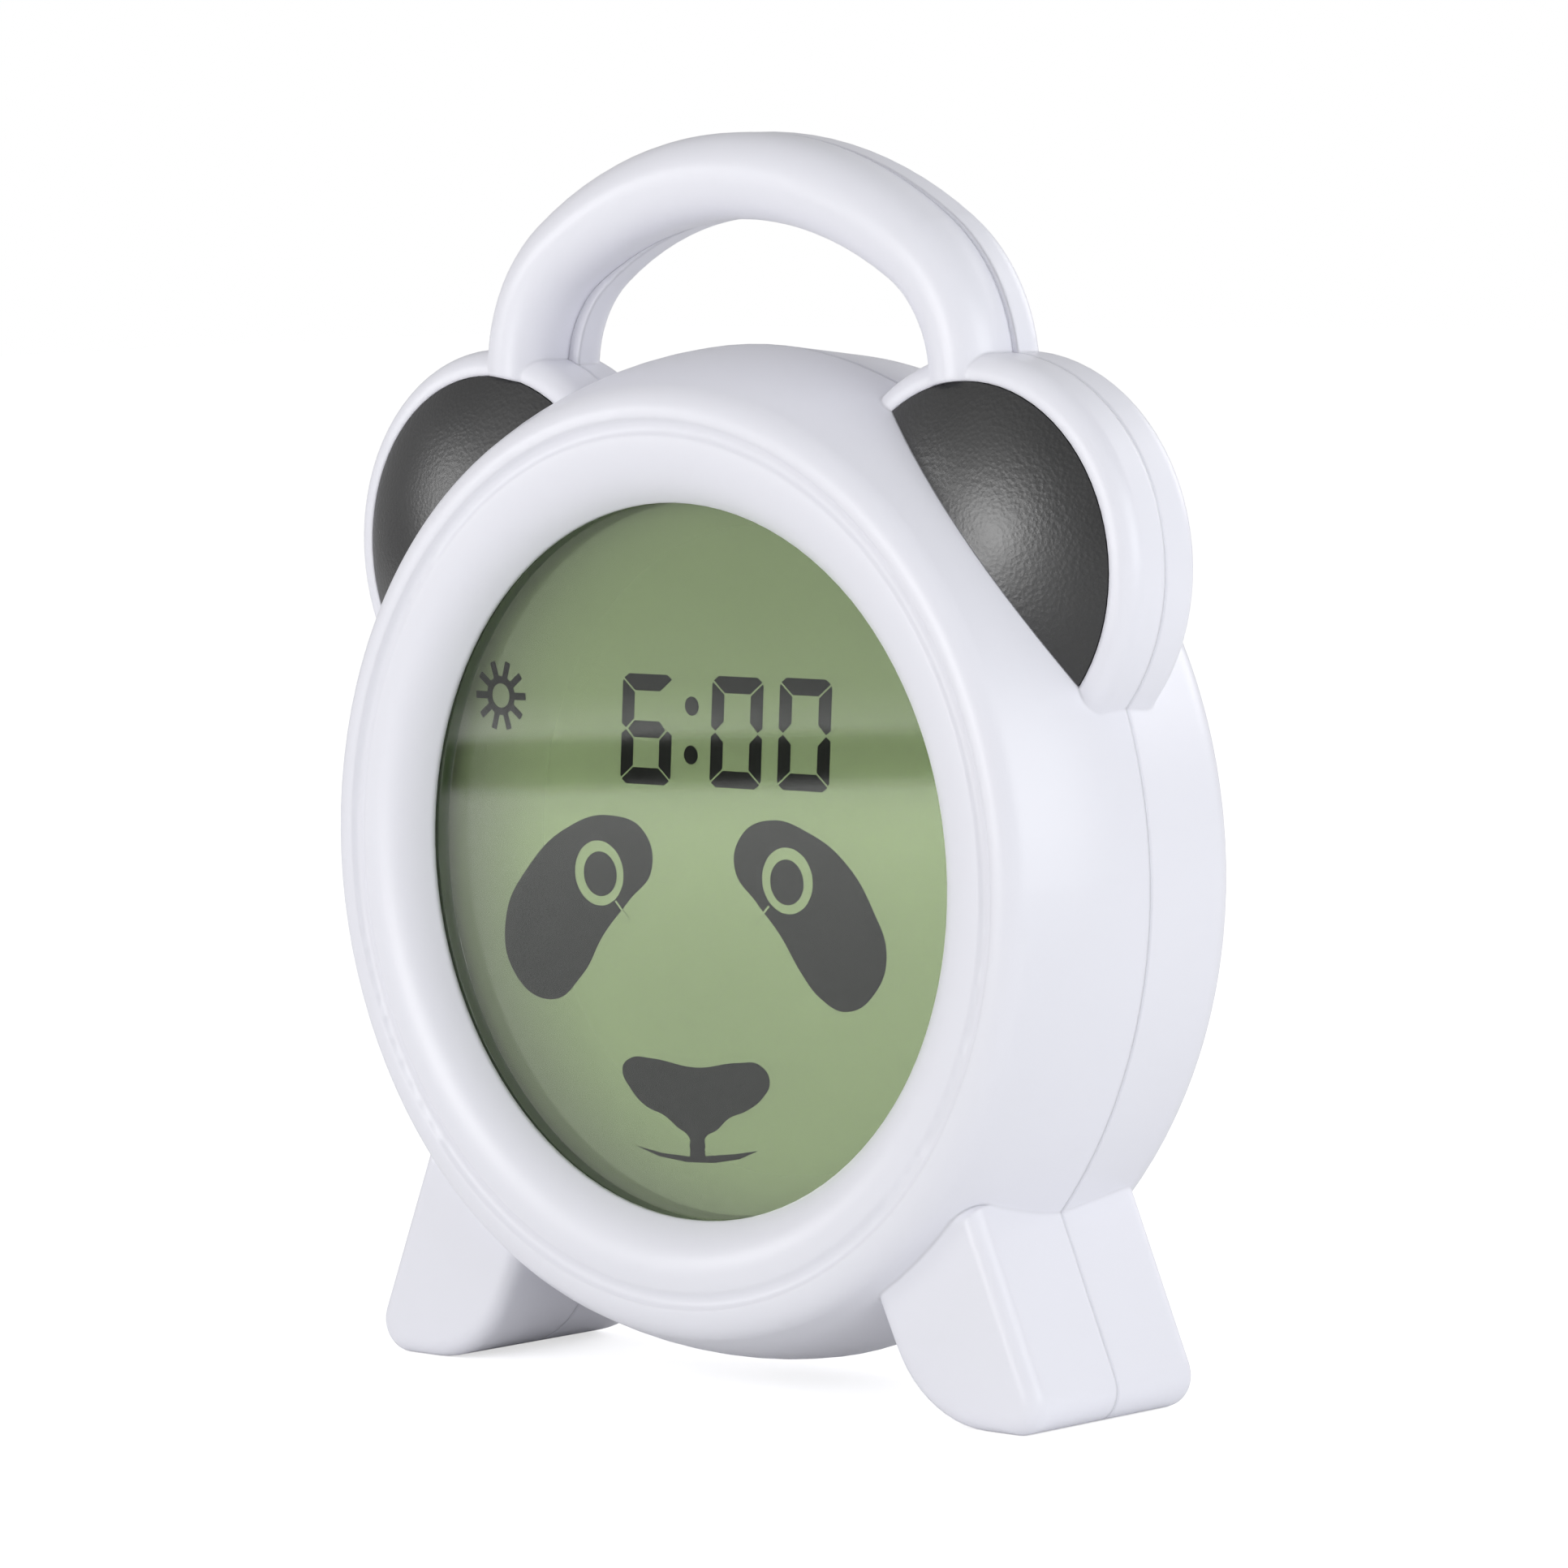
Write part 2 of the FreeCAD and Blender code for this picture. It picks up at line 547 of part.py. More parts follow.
# Screws: a pan head and a plain shank, driven towards the front.
def screw(name, across, up, head, head_thick, shank, seat, length):
    top = rod(name + "_head", across, up, head, seat, "%s + %s" % (seat, head_thick))
    pin = rod(name + "_shank", across, up, shank, "%s - %s" % (seat, length), seat)
    return fuse(name, [top, pin])


finish_set([screw("lug_screw_%d" % n, x, z, "small_head", "small_head_thick", "small_shank", "-" + plate_rear,
                  "small_reach") for n, (x, z) in enumerate(LUG_SPOTS)], "display_screws")
finish_set([screw("case_screw_%d" % n, x, z, "screw_head", "screw_head_thick", "screw_shank", "case_seat",
                  "(case_seat + screw_reach)") for n, (x, z) in enumerate(CASE_SPOTS)], "case_screws")

# Rear shell: control recess, key holes, speaker grille, battery bay and screw posts.
back_inner = "(rear_depth - wall)"
recess_floor = "(rear_depth - key_recess)"
KEYS = ("set", "alarm", "mode", "down", "up", "light")
KEY_SPOTS = [("key_pitch * (%d - 2.5)" % n, "keys_up") for n in range(len(KEYS))]
tongue_out = "%s - wall * %s - fit_gap" % (parting_radius("0"), rear_slope)


def slot_line(sk, reach_x, up, half):
    corners = [("-(%s)" % reach_x, "%s + %s" % (up, half), half, 1), ("-(%s)" % reach_x, "%s - %s" % (up, half)),
               (reach_x, "%s - %s" % (up, half), half, 1), (reach_x, "%s + %s" % (up, half))]
    outline(sk, corners)


def rounded(sk, half, low, high, corner):
    h, c = "(%s)" % half, "(%s)" % corner
    lo, hi = "(%s)" % low, "(%s)" % high
    outline(sk, [("-%s + %s" % (h, c), lo), ("%s - %s" % (h, c), lo, c, 1), (h, "%s + %s" % (lo, c)),
                 (h, "%s - %s" % (hi, c), c, 1), ("%s - %s" % (h, c), hi), ("-%s + %s" % (h, c), hi, c, 1),
                 ("-" + h, "%s - %s" % (hi, c)), ("-" + h, "%s + %s" % (lo, c), c, 1)])


cell_y = "(rear_depth - door_thick - bay_margin - cell_radius)"
bay_floor = "(%s - cell_radius - bay_margin)" % cell_y
bay_low = "(-cell_down - cell_pitch - cell_radius - bay_margin)"
bay_high = "(-cell_down + cell_pitch + cell_radius + bay_margin)"
rear_adds = []
rear_cuts = []
tongue_ring = cut("tongue_ring", rod("tongue_disc", "0", "0", tongue_out, "-tongue_depth", "wall"),
                  [rod("tongue_bore", "0", "0", tongue_out + " - tongue_wall", "-tongue_depth - 1", "wall + 1")])
rear_adds.append(tongue_ring)
rear_adds.append(block("bay_box", "-(bay_half + bay_wall)", "bay_half + bay_wall", "%s - bay_wall" % bay_floor,
                       back_inner + " + 0.5", bay_low + " - bay_wall", bay_high + " + bay_wall"))
rear_cuts.append(block("bay_room", "-bay_half", "bay_half", bay_floor, "rear_depth + 1", bay_low, bay_high))
door_low = "(%s - door_lap)" % bay_low
door_high = "(%s + door_lap)" % bay_high
door_half = "(bay_half + door_lap)"
door_top = "(%s + door_tongue_rise)" % door_high
door_inner = "(rear_depth - door_thick)"
for name, grow, start, end in (("door_gap", "fit_gap", door_inner, "rear_depth + 1"), ("door", "0", door_inner, "rear_depth")):
    plate = prism(name + "_plate", lambda sk: rounded(sk, "%s + %s" % (door_half, grow), "%s - %s" % (door_low, grow),
                                                      "%s + %s" % (door_high, grow), "door_corner"), start, end)
    tab = prism(name + "_tab", lambda sk: rounded(sk, "door_tongue + %s" % grow, "%s - door_corner * 2" % door_high,
                                                  "%s + %s" % (door_top, grow), "door_corner"), start, end)
    if name == "door_gap":
        rear_cuts += [plate, tab]
    else:
        door_solids = [plate, tab]

for n, (across, up) in enumerate(CASE_SPOTS):
    rear_adds.append(rod("case_post_%d" % n, across, up, "case_post", "seat_gap", back_inner + " + 0.5"))
    rear_cuts.append(rod("case_bore_%d" % n, across, up, "case_bore", "case_seat", "rear_depth + 1"))
    rear_cuts.append(rod("case_hole_%d" % n, across, up, "screw_hole", "-1", "case_seat + 1"))
recess = prism("key_recess_cut", lambda sk: slot_line(sk, "recess_reach", "keys_up", "recess_half"), recess_floor,
               "rear_depth + 1")
rear_cuts.append(recess)
for n, (across, up) in enumerate(KEY_SPOTS):
    rear_cuts.append(rod("key_hole_%d" % n, across, up, "key_radius + fit_gap", back_inner + " - 1", "rear_depth"))

key_board_front = "(key_board_depth)"
key_board_rear = "(key_board_depth + board_thick)"
KEY_POSTS = [("%s * key_post_side" % sx, "keys_up + %s * key_post_rise" % sz) for sx in ("-1", "1") for sz in ("-1", "1")]
for n, (across, up) in enumerate(KEY_POSTS):
    rear_adds.append(rod("key_post_%d" % n, across, up, "key_post", key_board_rear, back_inner + " + 0.5"))
    rear_cuts.append(rod("key_post_hole_%d" % n, across, up, "small_hole", key_board_rear + " - 1",
                         key_board_rear + " + small_reach"))
speaker_rear = "(%s - seat_gap)" % back_inner
speaker_front = "(%s - speaker_thick)" % speaker_rear
speaker_rib_radius = "(speaker_radius + seat_gap + speaker_rib)"
rear_adds.append(cut("speaker_rib_ring",
                     rod("speaker_rib_out", "0", "speaker_up", speaker_rib_radius, speaker_front, back_inner + " + 0.5"),
                     [rod("speaker_rib_in", "0", "speaker_up", "speaker_radius + seat_gap", speaker_front + " - 1",
                          back_inner + " + 1")]))
CLAMP_SPOTS = [("%s * clamp_screw_at" % s, "speaker_up") for s in ("-1", "1")]
for n, (across, up) in enumerate(CLAMP_SPOTS):
    rear_adds.append(rod("clamp_post_%d" % n, across, up, "clamp_lug", speaker_front, back_inner + " + 0.5"))
    rear_cuts.append(rod("clamp_hole_%d" % n, across, up, "small_hole", speaker_front + " - 1",
                         speaker_front + " + small_reach - 1"))
grille = [("0", "speaker_up")]
for ring, count in ((1, 6), (2, 12)):
    for n in range(count):
        turn = 360.0 / count * n
        grille.append(("grille_pitch * %d * cos(%s)" % (ring, turn), "speaker_up + grille_pitch * %d * sin(%s)" % (ring, turn)))
for n, (across, up) in enumerate(grille):
    rear_cuts.append(rod("grille_hole_%d" % n, across, up, "grille_hole", back_inner + " - 1", "rear_depth + 1"))
rear_adds.append(rod("door_post", "0", door_high + " + door_screw_up", "door_post",
                     door_inner + " - small_reach - 1", door_inner))
rear_cuts.append(rod("door_post_hole", "0", door_high + " + door_screw_up", "small_hole", door_inner + " - small_reach",
                     "rear_depth"))
rear_skin = cut("rear_skin", fuse("rear_body", [head_rear] + rear_limbs), [rear_hollow])
finish(cut("rear_cut", fuse("rear_full", [rear_skin] + rear_adds), rear_cuts), "rear_shell")

# Key board, switches and six keys that press towards the front.
board_holes = [rod("key_board_hole_%d" % n, x, z, "small_hole", "0", "rear_depth") for n, (x, z) in enumerate(KEY_POSTS)]
finish(cut("key_board_cut", block("key_board_plate", "-key_board_half", "key_board_half", key_board_front, key_board_rear,
                                  "keys_up - key_board_rise", "keys_up + key_board_rise"), board_holes), "key_board")
finish_set([fuse("key_screw_%d" % n, [
    rod("key_screw_%d_head" % n, x, z, "small_head", key_board_front + " - small_head_thick", key_board_front),
    rod("key_screw_%d_shank" % n, x, z, "small_shank", key_board_front, key_board_front + " + small_reach")])
    for n, (x, z) in enumerate(KEY_POSTS)], "key_board_screws")
switch_top = "(%s + switch_body)" % key_board_rear
switches = []
for n, (across, up) in enumerate(KEY_SPOTS):
    base = block("switch_body_%d" % n, across + " - switch_half", across + " + switch_half", key_board_rear, switch_top,
                 up + " - switch_half", up + " + switch_half")
    switches.append(fuse("switch_%d" % n, [base, rod("switch_tip_%d" % n, across, up, "switch_tip", switch_top,
                                                     switch_top + " + switch_stroke")]))
finish_set(switches, "tact_switches")
stem_end = "(%s + switch_stroke + key_travel + 0.05)" % switch_top
flange_rear = "(%s - seat_gap)" % back_inner
for n, name in enumerate(KEYS):
    across, up = KEY_SPOTS[n]
    cap = prism("cap_" + name, lambda sk: ring_line(sk, across, up, "key_radius"), flange_rear + " - key_flange_thick",
                recess_floor + " + key_proud")
    dress(cap, "Fillet", "Radius", "key_proud / 2", at_depth(recess_floor + " + key_proud"))
    rim = rod("cap_rim_" + name, across, up, "key_flange", flange_rear + " - key_flange_thick", flange_rear)
    stem = rod("cap_stem_" + name, across, up, "key_stem", stem_end, flange_rear)
    finish(fuse("key_" + name, [cap, rim, stem]), "button_" + name)

# Speaker and its clamp ring.
speaker_body = rod("speaker_can", "0", "speaker_up", "speaker_radius", speaker_front, speaker_rear)
magnet = rod("speaker_magnet", "0", "speaker_up", "speaker_radius / 2", speaker_front + " - speaker_thick / 2", speaker_front)
finish(fuse("speaker_full", [speaker_body, magnet]), "speaker")
clamp_plate = rod("clamp_plate", "0", "speaker_up", speaker_rib_radius, speaker_front + " - clamp_thick", speaker_front)
clamp_ears = [rod("clamp_ear_%d" % n, x, z, "clamp_lug", speaker_front + " - clamp_thick", speaker_front)
              for n, (x, z) in enumerate(CLAMP_SPOTS)]
clamp_cuts = [rod("clamp_bore", "0", "speaker_up", "speaker_radius - clamp_lap", "0", "rear_depth")]
clamp_cuts += [rod("clamp_ear_hole_%d" % n, x, z, "small_hole", "0", "rear_depth") for n, (x, z) in enumerate(CLAMP_SPOTS)]
finish(cut("clamp_cut", fuse("clamp_full", [clamp_plate] + clamp_ears), clamp_cuts), "speaker_clamp")
clamp_face = "(%s - clamp_thick)" % speaker_front
finish_set([fuse("clamp_screw_%d" % n, [
    rod("clamp_screw_%d_head" % n, x, z, "small_head", clamp_face + " - small_head_thick", clamp_face),
    rod("clamp_screw_%d_shank" % n, x, z, "small_shank", clamp_face, clamp_face + " + small_reach - 0.5")])
    for n, (x, z) in enumerate(CLAMP_SPOTS)], "speaker_screws")

# Battery cells lie across the bay, plus ends alternating, between bowed spring contacts.
cells = []
contacts = {"left": [], "right": []}
for n in range(3):
    flip = -1 if n == 1 else 1
    up = "-cell_down + cell_pitch * %d" % (n - 1)
    can = doc.addObject("Part::Cylinder", "cell_can_%d" % n)
    nub = doc.addObject("Part::Cylinder", "cell_nub_%d" % n)
    shift = "%d * cell_nub_rise / 2" % -flip
    for item, radius, start, length in (
            (can, "cell_radius", "-(cell_length - cell_nub_rise) / 2 + (%s)" % shift, "cell_length - cell_nub_rise"),
            (nub, "cell_nub", "-cell_length / 2" if flip < 0 else "cell_length / 2 - cell_nub_rise - 0.1",
             "cell_nub_rise + 0.1")):
        item.Placement = FreeCAD.Placement(FreeCAD.Vector(), FreeCAD.Rotation(FreeCAD.Vector(0, 1, 0), 90))
        bind(item, "Radius", radius)
        bind(item, "Height", length)
        bind(item, "Placement.Base.x", start)
        bind(item, "Placement.Base.y", cell_y)
        bind(item, "Placement.Base.z", up)
    cells.append(fuse("cell_%d" % n, [can, nub]))
    for side, sign in SIDES:
        body = doc.addObject("PartDesign::Body", "contact_%s_%d" % (side, n))
        sketch = new_sketch(body, body.Name + "_line", "XY_Plane")
        wall_x = "(%s * (bay_half - 0.05))" % sign
        tip_x = "(%s * (cell_length / 2 + 0.1))" % sign
        skin = "(%s * contact_thick)" % sign
        low_y, high_y = cell_y + " - contact_width / 2", cell_y + " + contact_width / 2"
        outline(sketch, [(wall_x, low_y), (wall_x, low_y + " + contact_thick"), (tip_x + " + " + skin, cell_y),
                         (wall_x, high_y + " - contact_thick"), (wall_x, high_y),
                         (wall_x + " - " + skin, high_y), (tip_x, cell_y), (wall_x + " - " + skin, low_y)])
        bind(sketch, "AttachmentOffset.Base.z", up + " - contact_width / 4")
        pad = body.newObject("PartDesign::Pad", body.Name + "_pad")
        pad.Profile = sketch
        bind(pad, "Length", "contact_width / 2")
        contacts[side].append(body)
finish_set(cells, "battery_cells")
for side, sign in SIDES:
    finish_set(contacts[side], "battery_contacts_" + side)

# Battery door: a plate with a screw tongue and two locating lugs, held by one screw.
lug_blocks = []
for side, sign in SIDES:
    mid = "%s * bay_half / 2" % sign
    lug_blocks.append(block("door_lug_" + side, mid + " - door_lug", mid + " + door_lug",
                            door_inner + " - bay_margin + fit_gap", door_inner + " + 0.2", bay_low + " + fit_gap",
                            bay_low + " + fit_gap + door_lug_wall"))
door_hole = rod("door_hole", "0", door_high + " + door_screw_up", "screw_hole", "0", "rear_depth + 1")
door_sink = rod("door_sink", "0", door_high + " + door_screw_up", "small_head + 0.3", door_inner + " + 0.7", "rear_depth + 1")
finish(cut("door_cut", fuse("door_full", door_solids + lug_blocks), [door_hole, door_sink]), "battery_door")
finish(fuse("door_screw_full", [
    rod("door_screw_head", "0", door_high + " + door_screw_up", "small_head", door_inner + " + 0.7", door_inner + " + 0.7 + small_head_thick"),
    rod("door_screw_shank", "0", door_high + " + door_screw_up", "small_shank", door_inner + " - small_reach + 1", door_inner + " + 0.7")]),
    "battery_door_screw")

doc.recompute()
for item in doc.Objects:
    if "Invalid" in item.State or "Error" in item.State:
        raise RuntimeError("failed: %s %s" % (item.Name, item.State))
for item in PARTS:
    shape = item.Shape
    if shape.isNull() or not shape.isValid() or not shape.Solids:
        raise RuntimeError("bad shape: " + item.Label)
for item in PARTS:
    item.Shape.exportStep("parts/%s.step" % item.Label)
    print(item.Label, len(item.Shape.Solids), round(item.Shape.Volume / 1000.0, 2))
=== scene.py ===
import math
import bpy
from mathutils import Matrix, Vector


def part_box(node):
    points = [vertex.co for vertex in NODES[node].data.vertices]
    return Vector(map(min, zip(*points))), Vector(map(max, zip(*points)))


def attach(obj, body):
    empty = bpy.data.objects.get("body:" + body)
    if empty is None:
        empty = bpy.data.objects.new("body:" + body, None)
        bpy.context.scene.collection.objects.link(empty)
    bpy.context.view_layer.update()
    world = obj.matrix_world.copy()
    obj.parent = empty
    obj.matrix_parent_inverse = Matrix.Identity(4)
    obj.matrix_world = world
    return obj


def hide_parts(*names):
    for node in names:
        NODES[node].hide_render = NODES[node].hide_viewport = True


bl_info = {
    "name": "Kids alarm clock looks",
    "version": (1, 0, 0),
    "blender": (4, 5, 0),
    "location": "View3D > Sidebar > Clock",
    "description": "Finishes, display figures and studio for a kids alarm clock with night light",
    "category": "Object",
}

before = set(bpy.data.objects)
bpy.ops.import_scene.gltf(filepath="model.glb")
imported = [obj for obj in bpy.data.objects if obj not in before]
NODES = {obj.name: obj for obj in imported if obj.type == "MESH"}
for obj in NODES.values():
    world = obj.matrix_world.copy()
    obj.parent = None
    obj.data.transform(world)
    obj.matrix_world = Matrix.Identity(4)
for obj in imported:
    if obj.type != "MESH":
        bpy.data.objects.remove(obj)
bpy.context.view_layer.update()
MM = 0.001
LCD_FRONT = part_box("lcd_glass")[0].y
HEAD = Vector((0.0, 0.0, (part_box("window_lens")[0].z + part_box("window_lens")[1].z) / 2))
KEYS = ("set", "alarm", "mode", "down", "up", "light")

# Screws shown with a cross recess: head radius, head height and shank radius, in millimetres.
SCREWS = (("case_screws", 2.7, 1.9, 1.45), ("battery_door_screw", 1.8, 1.2, 0.9))
SCREW_SIDES = 40
RECESS_LONG, RECESS_WIDE, RECESS_HIGH = 1.15, 0.3, 1.2

# Display figures, in millimetres across and up from the middle of the head.
DIGITS = (("6", -15.0, 10.0), ("0", 2.1, 10.2), ("0", 14.8, 10.4))
SEGMENTS = {"0": "abcdef", "6": "acdefg"}
SEGMENT_GAP, SEGMENT_CUT = 0.13, 0.45
COLON_DOTS = ((-0.9, 21.1), (-1.3, 14.4))
COLON_RADIUS = 1.3
SUN = (-38.1, 21.2)
SUN_RING = (2.75, 1.7)
RAY_WIDTH = 1.02 * MM
RAY_MIDDLE, RAY_LENGTH = 0.74, 0.52
EYE_LEFT = [
    (-17, 5.4), (-10.4, 3.2), (-9.3, -1.6), (-13.8, -6.2), (-18.9, -11.2), (-23.2, -17),
    (-29.5, -20.9), (-36.8, -17.4), (-38.2, -10.2), (-33, -2.1), (-25.4, 3.4)]
EYE_RIGHT = [
    (12.8, 6.1), (7.6, 3.4), (6.6, -0.8), (10.6, -5.2), (14.9, -9.4), (18.6, -14.2), (22, -17.4),
    (26.9, -19), (32.1, -16.2), (34.4, -11), (32, -4.9), (27.4, 0.9), (20.8, 4.7)]
IRIS_LEFT, IRIS_RIGHT = (-19.5, -2.7), (16.4, -1.9)
IRIS_RADIUS, IRIS_POINTS, IRIS_WIDE = 4.5, 12, 1.05
PUPIL_LEFT, PUPIL_RIGHT = (-19.3, -2.8), (16.3, -2.1)
PUPIL_RADIUS, PUPIL_POINTS = 3.1, 40
PUPIL_WIDE_LEFT, PUPIL_WIDE_RIGHT = 1.03, 1.0
GAP_LINES = (("left", (-16.4, -6.4), (-13.9, -8.9)), ("right", (12.9, -5.5), (10.3, -8.0)))
GAP_HALF = 0.16
GAP_LIFT = 1.5
NOSE = [
    (-15.8, -29.6), (-14.3, -28.1), (-10.6, -27.8), (-1.6, -28.5), (6.6, -27.3), (10.6, -27.4),
    (12.3, -29.4), (10.9, -31.8), (7.8, -33.8), (4.4, -35.1), (2.2, -36.8), (-0.2, -38.2),
    (-0.3, -39.6), (-3, -39.8), (-3.1, -38.4), (-5.6, -36.9), (-7.8, -35.6), (-11.4, -34.5),
    (-14.2, -32.4)]
MOUTH = [
    (-13.4, -40.2), (-8.4, -40.8), (-3.1, -40.9), (-3.0, -39.5), (-0.3, -39.3), (-0.2, -40.6),
    (5.4, -39.9), (9.9, -39.1), (6.4, -40.5), (1.6, -41.4), (-3.6, -41.7), (-9, -41.3)]

# The display is a soft mirror inside the first radius. Outside the second it is matt and darkened
# by painted shade, and the middle sits right of the head, so the painted shade falls along the left
# rim.
RIM_MIDDLE = (HEAD.x + 0.014, LCD_FRONT, HEAD.z + 0.002)
RIM_START, RIM_END = 0.040, 0.062
MIRROR = 0.80
PAINTED_RIM_SHADE = 0.45

# Studio: lamps are name, place, aim, setting for the power, share of it, size and colour.
LAMPS = (
    ("key_lamp", (-0.7, -1.2, 0.75), (0, 0, 0.09), "key", 1.0, 0.9, (1.0, 0.99, 0.98)),
    ("side_lamp", (1.25, -0.05, 0.35), (0, 0, 0.09), "side", 1.0, 0.9, (0.96, 0.98, 1.0)),
    ("gleam_lamp", (-0.35, -1.1, 0.24), (0, 0, 0.1), "gleam", 1.0, 0.45, (1.0, 1.0, 1.0)),
    ("back_lamp", (0.25, 1.4, 0.7), (0, 0, 0.09), "back", 1.0, 0.8, (0.99, 0.99, 1.0)),
    ("left_gleam", (-1.0, -0.75, 0.32), (0, 0, 0.1), "gleam", 0.45, 0.3, (1.0, 1.0, 1.0)),
)
FLOOR_REACH = 4.0
FLOOR_SEEN, FLOOR_THROUGH = 0.62, 0.22
STRIP_AHEAD = Vector((-0.69, -0.72, 0)).normalized()
STRIP_ACROSS = Vector((0.72, -0.69, 0)).normalized()
STRIP_NEAR, STRIP_FAR, STRIP_HALF, STRIP_RISE = 0.91, 1.18, 1.2, 0.0015
STRIP_MIDDLE, STRIP_FULL, STRIP_GONE = 1.045, 0.045, 0.12
CAMERA_AT = (0.7256, -0.7550, 0.1726)
CAMERA_TURNS = (43.753, 4.924, -1.193)
SENSOR_WIDTH = 36.0


# Sizes and colours that a user would change.
def colour(name, description, default):
    return bpy.props.FloatVectorProperty(
        name=name, description=description, subtype="COLOR", size=3, default=default)


def length(name, description, default):
    return bpy.props.FloatProperty(
        name=name, description=description, unit="LENGTH", default=default)


def power(name, description, default):
    return bpy.props.FloatProperty(
        name=name, description=description, subtype="POWER", unit="POWER", default=default)


class ClockColours(bpy.types.PropertyGroup):
    """Colours of the main finishes."""
    shell: colour("Shell", "White moulding", (0.80, 0.80, 0.86))
    ear: colour("Ear panels", "Black grained insets", (0.005, 0.005, 0.0055))
    display: colour("Display", "Green of the display glass", (0.270, 0.350, 0.168))
    figure: colour("Figures", "Dark display segments", (0.005, 0.006, 0.004))
    # The gasket is dark, and its green tint is a painted reflection of the green display seen in
    # the lens edge.
    gasket: colour("Gasket", "Ring between lens and display", (0.050, 0.080, 0.030))
    keys: colour("Keys", "Rear keys", (0.32, 0.32, 0.35))


class ClockDisplay(bpy.types.PropertyGroup):
    """Sizes of the figures on the display."""
    digit_height: length("Digit height", "Height of the time digits", 0.0152)
    digit_width: length("Digit width", "Width of one digit", 0.0096)
    digit_lean: length("Digit lean", "Sideways lean from foot to top", 0.0011)
    stroke: length("Stroke", "Width of a segment", 0.0023)
    sun_reach: length("Sun reach", "Length of the sun's rays from its middle", 0.0049)
    sun_rays: bpy.props.IntProperty(
        name="Sun rays", description="Number of rays", default=10, min=3)
    lift: length("Lift", "Height of the figures off the glass", 0.00004)


class ClockStudio(bpy.types.PropertyGroup):
    """Light and lens of the studio."""
    fill: bpy.props.FloatProperty(
        name="Fill", description="Strength of the even light", default=0.43)
    key: power("Key lamp", "Power of the front lamp", 0.9)
    side: power("Side lamp", "Power of the lamp on the right", 8.6)
    gleam: power("Gleam lamp", "Power of the low lamp seen in the ears", 4.2)
    back: power("Back lamp", "Power of the lamp behind", 5.0)
    lens: bpy.props.FloatProperty(
        name="Lens", description="Focal length in millimetres", default=175.5)


# Node helpers.
def add_node(tree, kind, spot=(0, 0), inputs=None, **values):
    node = tree.nodes.new(kind)
    node.location = spot
    for name, value in values.items():
        setattr(node, name, value)
    return settle(node, inputs or {})


def settle(node, inputs):
    for name, value in inputs.items():
        node.inputs[name].default_value = value
    return node


def new_tree(name, kind, inputs, outputs):
    # A node group with its sockets, and its input and output nodes.
    tree = bpy.data.node_groups.new(name, kind)
    for way, sockets in (("INPUT", inputs), ("OUTPUT", outputs)):
        for socket, sort in sockets.items():
            tree.interface.new_socket(socket, in_out=way, socket_type="NodeSocket" + sort)
    give = add_node(tree, "NodeGroupInput", (-900, 0))
    take = add_node(tree, "NodeGroupOutput", (700, 0))
    return tree, give, take


def new_material(name):
    made = bpy.data.materials.new(name)
    made.use_nodes = True
    return made, made.node_tree, made.node_tree.nodes["Principled BSDF"]


def moulded_surface():
    # Slight mottling of colour and roughness and a fine relief, shared by all the plastics.
    group, give, take = new_tree(
        "moulded_surface", "ShaderNodeTree",
        {"Colour": "Color", "Roughness": "Float", "Mottle": "Float", "Grain size": "Float"},
        {"Colour": "Color", "Roughness": "Float", "Height": "Float"})
    place = add_node(group, "ShaderNodeTexCoord", (-900, -300))
    cloud = add_node(group, "ShaderNodeTexNoise", (-600, -100), {"Scale": 22.0, "Detail": 3.0})
    grain = add_node(group, "ShaderNodeTexNoise", (-600, -400), {"Detail": 2.0})
    shift = add_node(group, "ShaderNodeMapRange", (-350, -100),
                     {"From Min": 0.3, "From Max": 0.7, "To Min": -0.5, "To Max": 0.5})
    scale = add_node(group, "ShaderNodeMath", (-150, -100), operation="MULTIPLY")
    bright = add_node(group, "ShaderNodeMath", (50, -100), {1: 1.0}, operation="ADD")
    tint = add_node(group, "ShaderNodeVectorMath", (250, 50), operation="SCALE")
    rough = add_node(group, "ShaderNodeMath", (250, -250), operation="ADD")
    link = group.links.new
    link(place.outputs["Object"], cloud.inputs["Vector"])
    link(place.outputs["Object"], grain.inputs["Vector"])
    link(give.outputs["Grain size"], grain.inputs["Scale"])
    link(cloud.outputs["Fac"], shift.inputs["Value"])
    link(shift.outputs["Result"], scale.inputs[0])
    link(give.outputs["Mottle"], scale.inputs[1])
    link(scale.outputs[0], bright.inputs[0])
    link(give.outputs["Colour"], tint.inputs[0])
    link(bright.outputs[0], tint.inputs["Scale"])
    link(give.outputs["Roughness"], rough.inputs[0])
    link(scale.outputs[0], rough.inputs[1])
    link(tint.outputs[0], take.inputs["Colour"])
    link(rough.outputs[0], take.inputs["Roughness"])
    link(grain.outputs["Fac"], take.inputs["Height"])


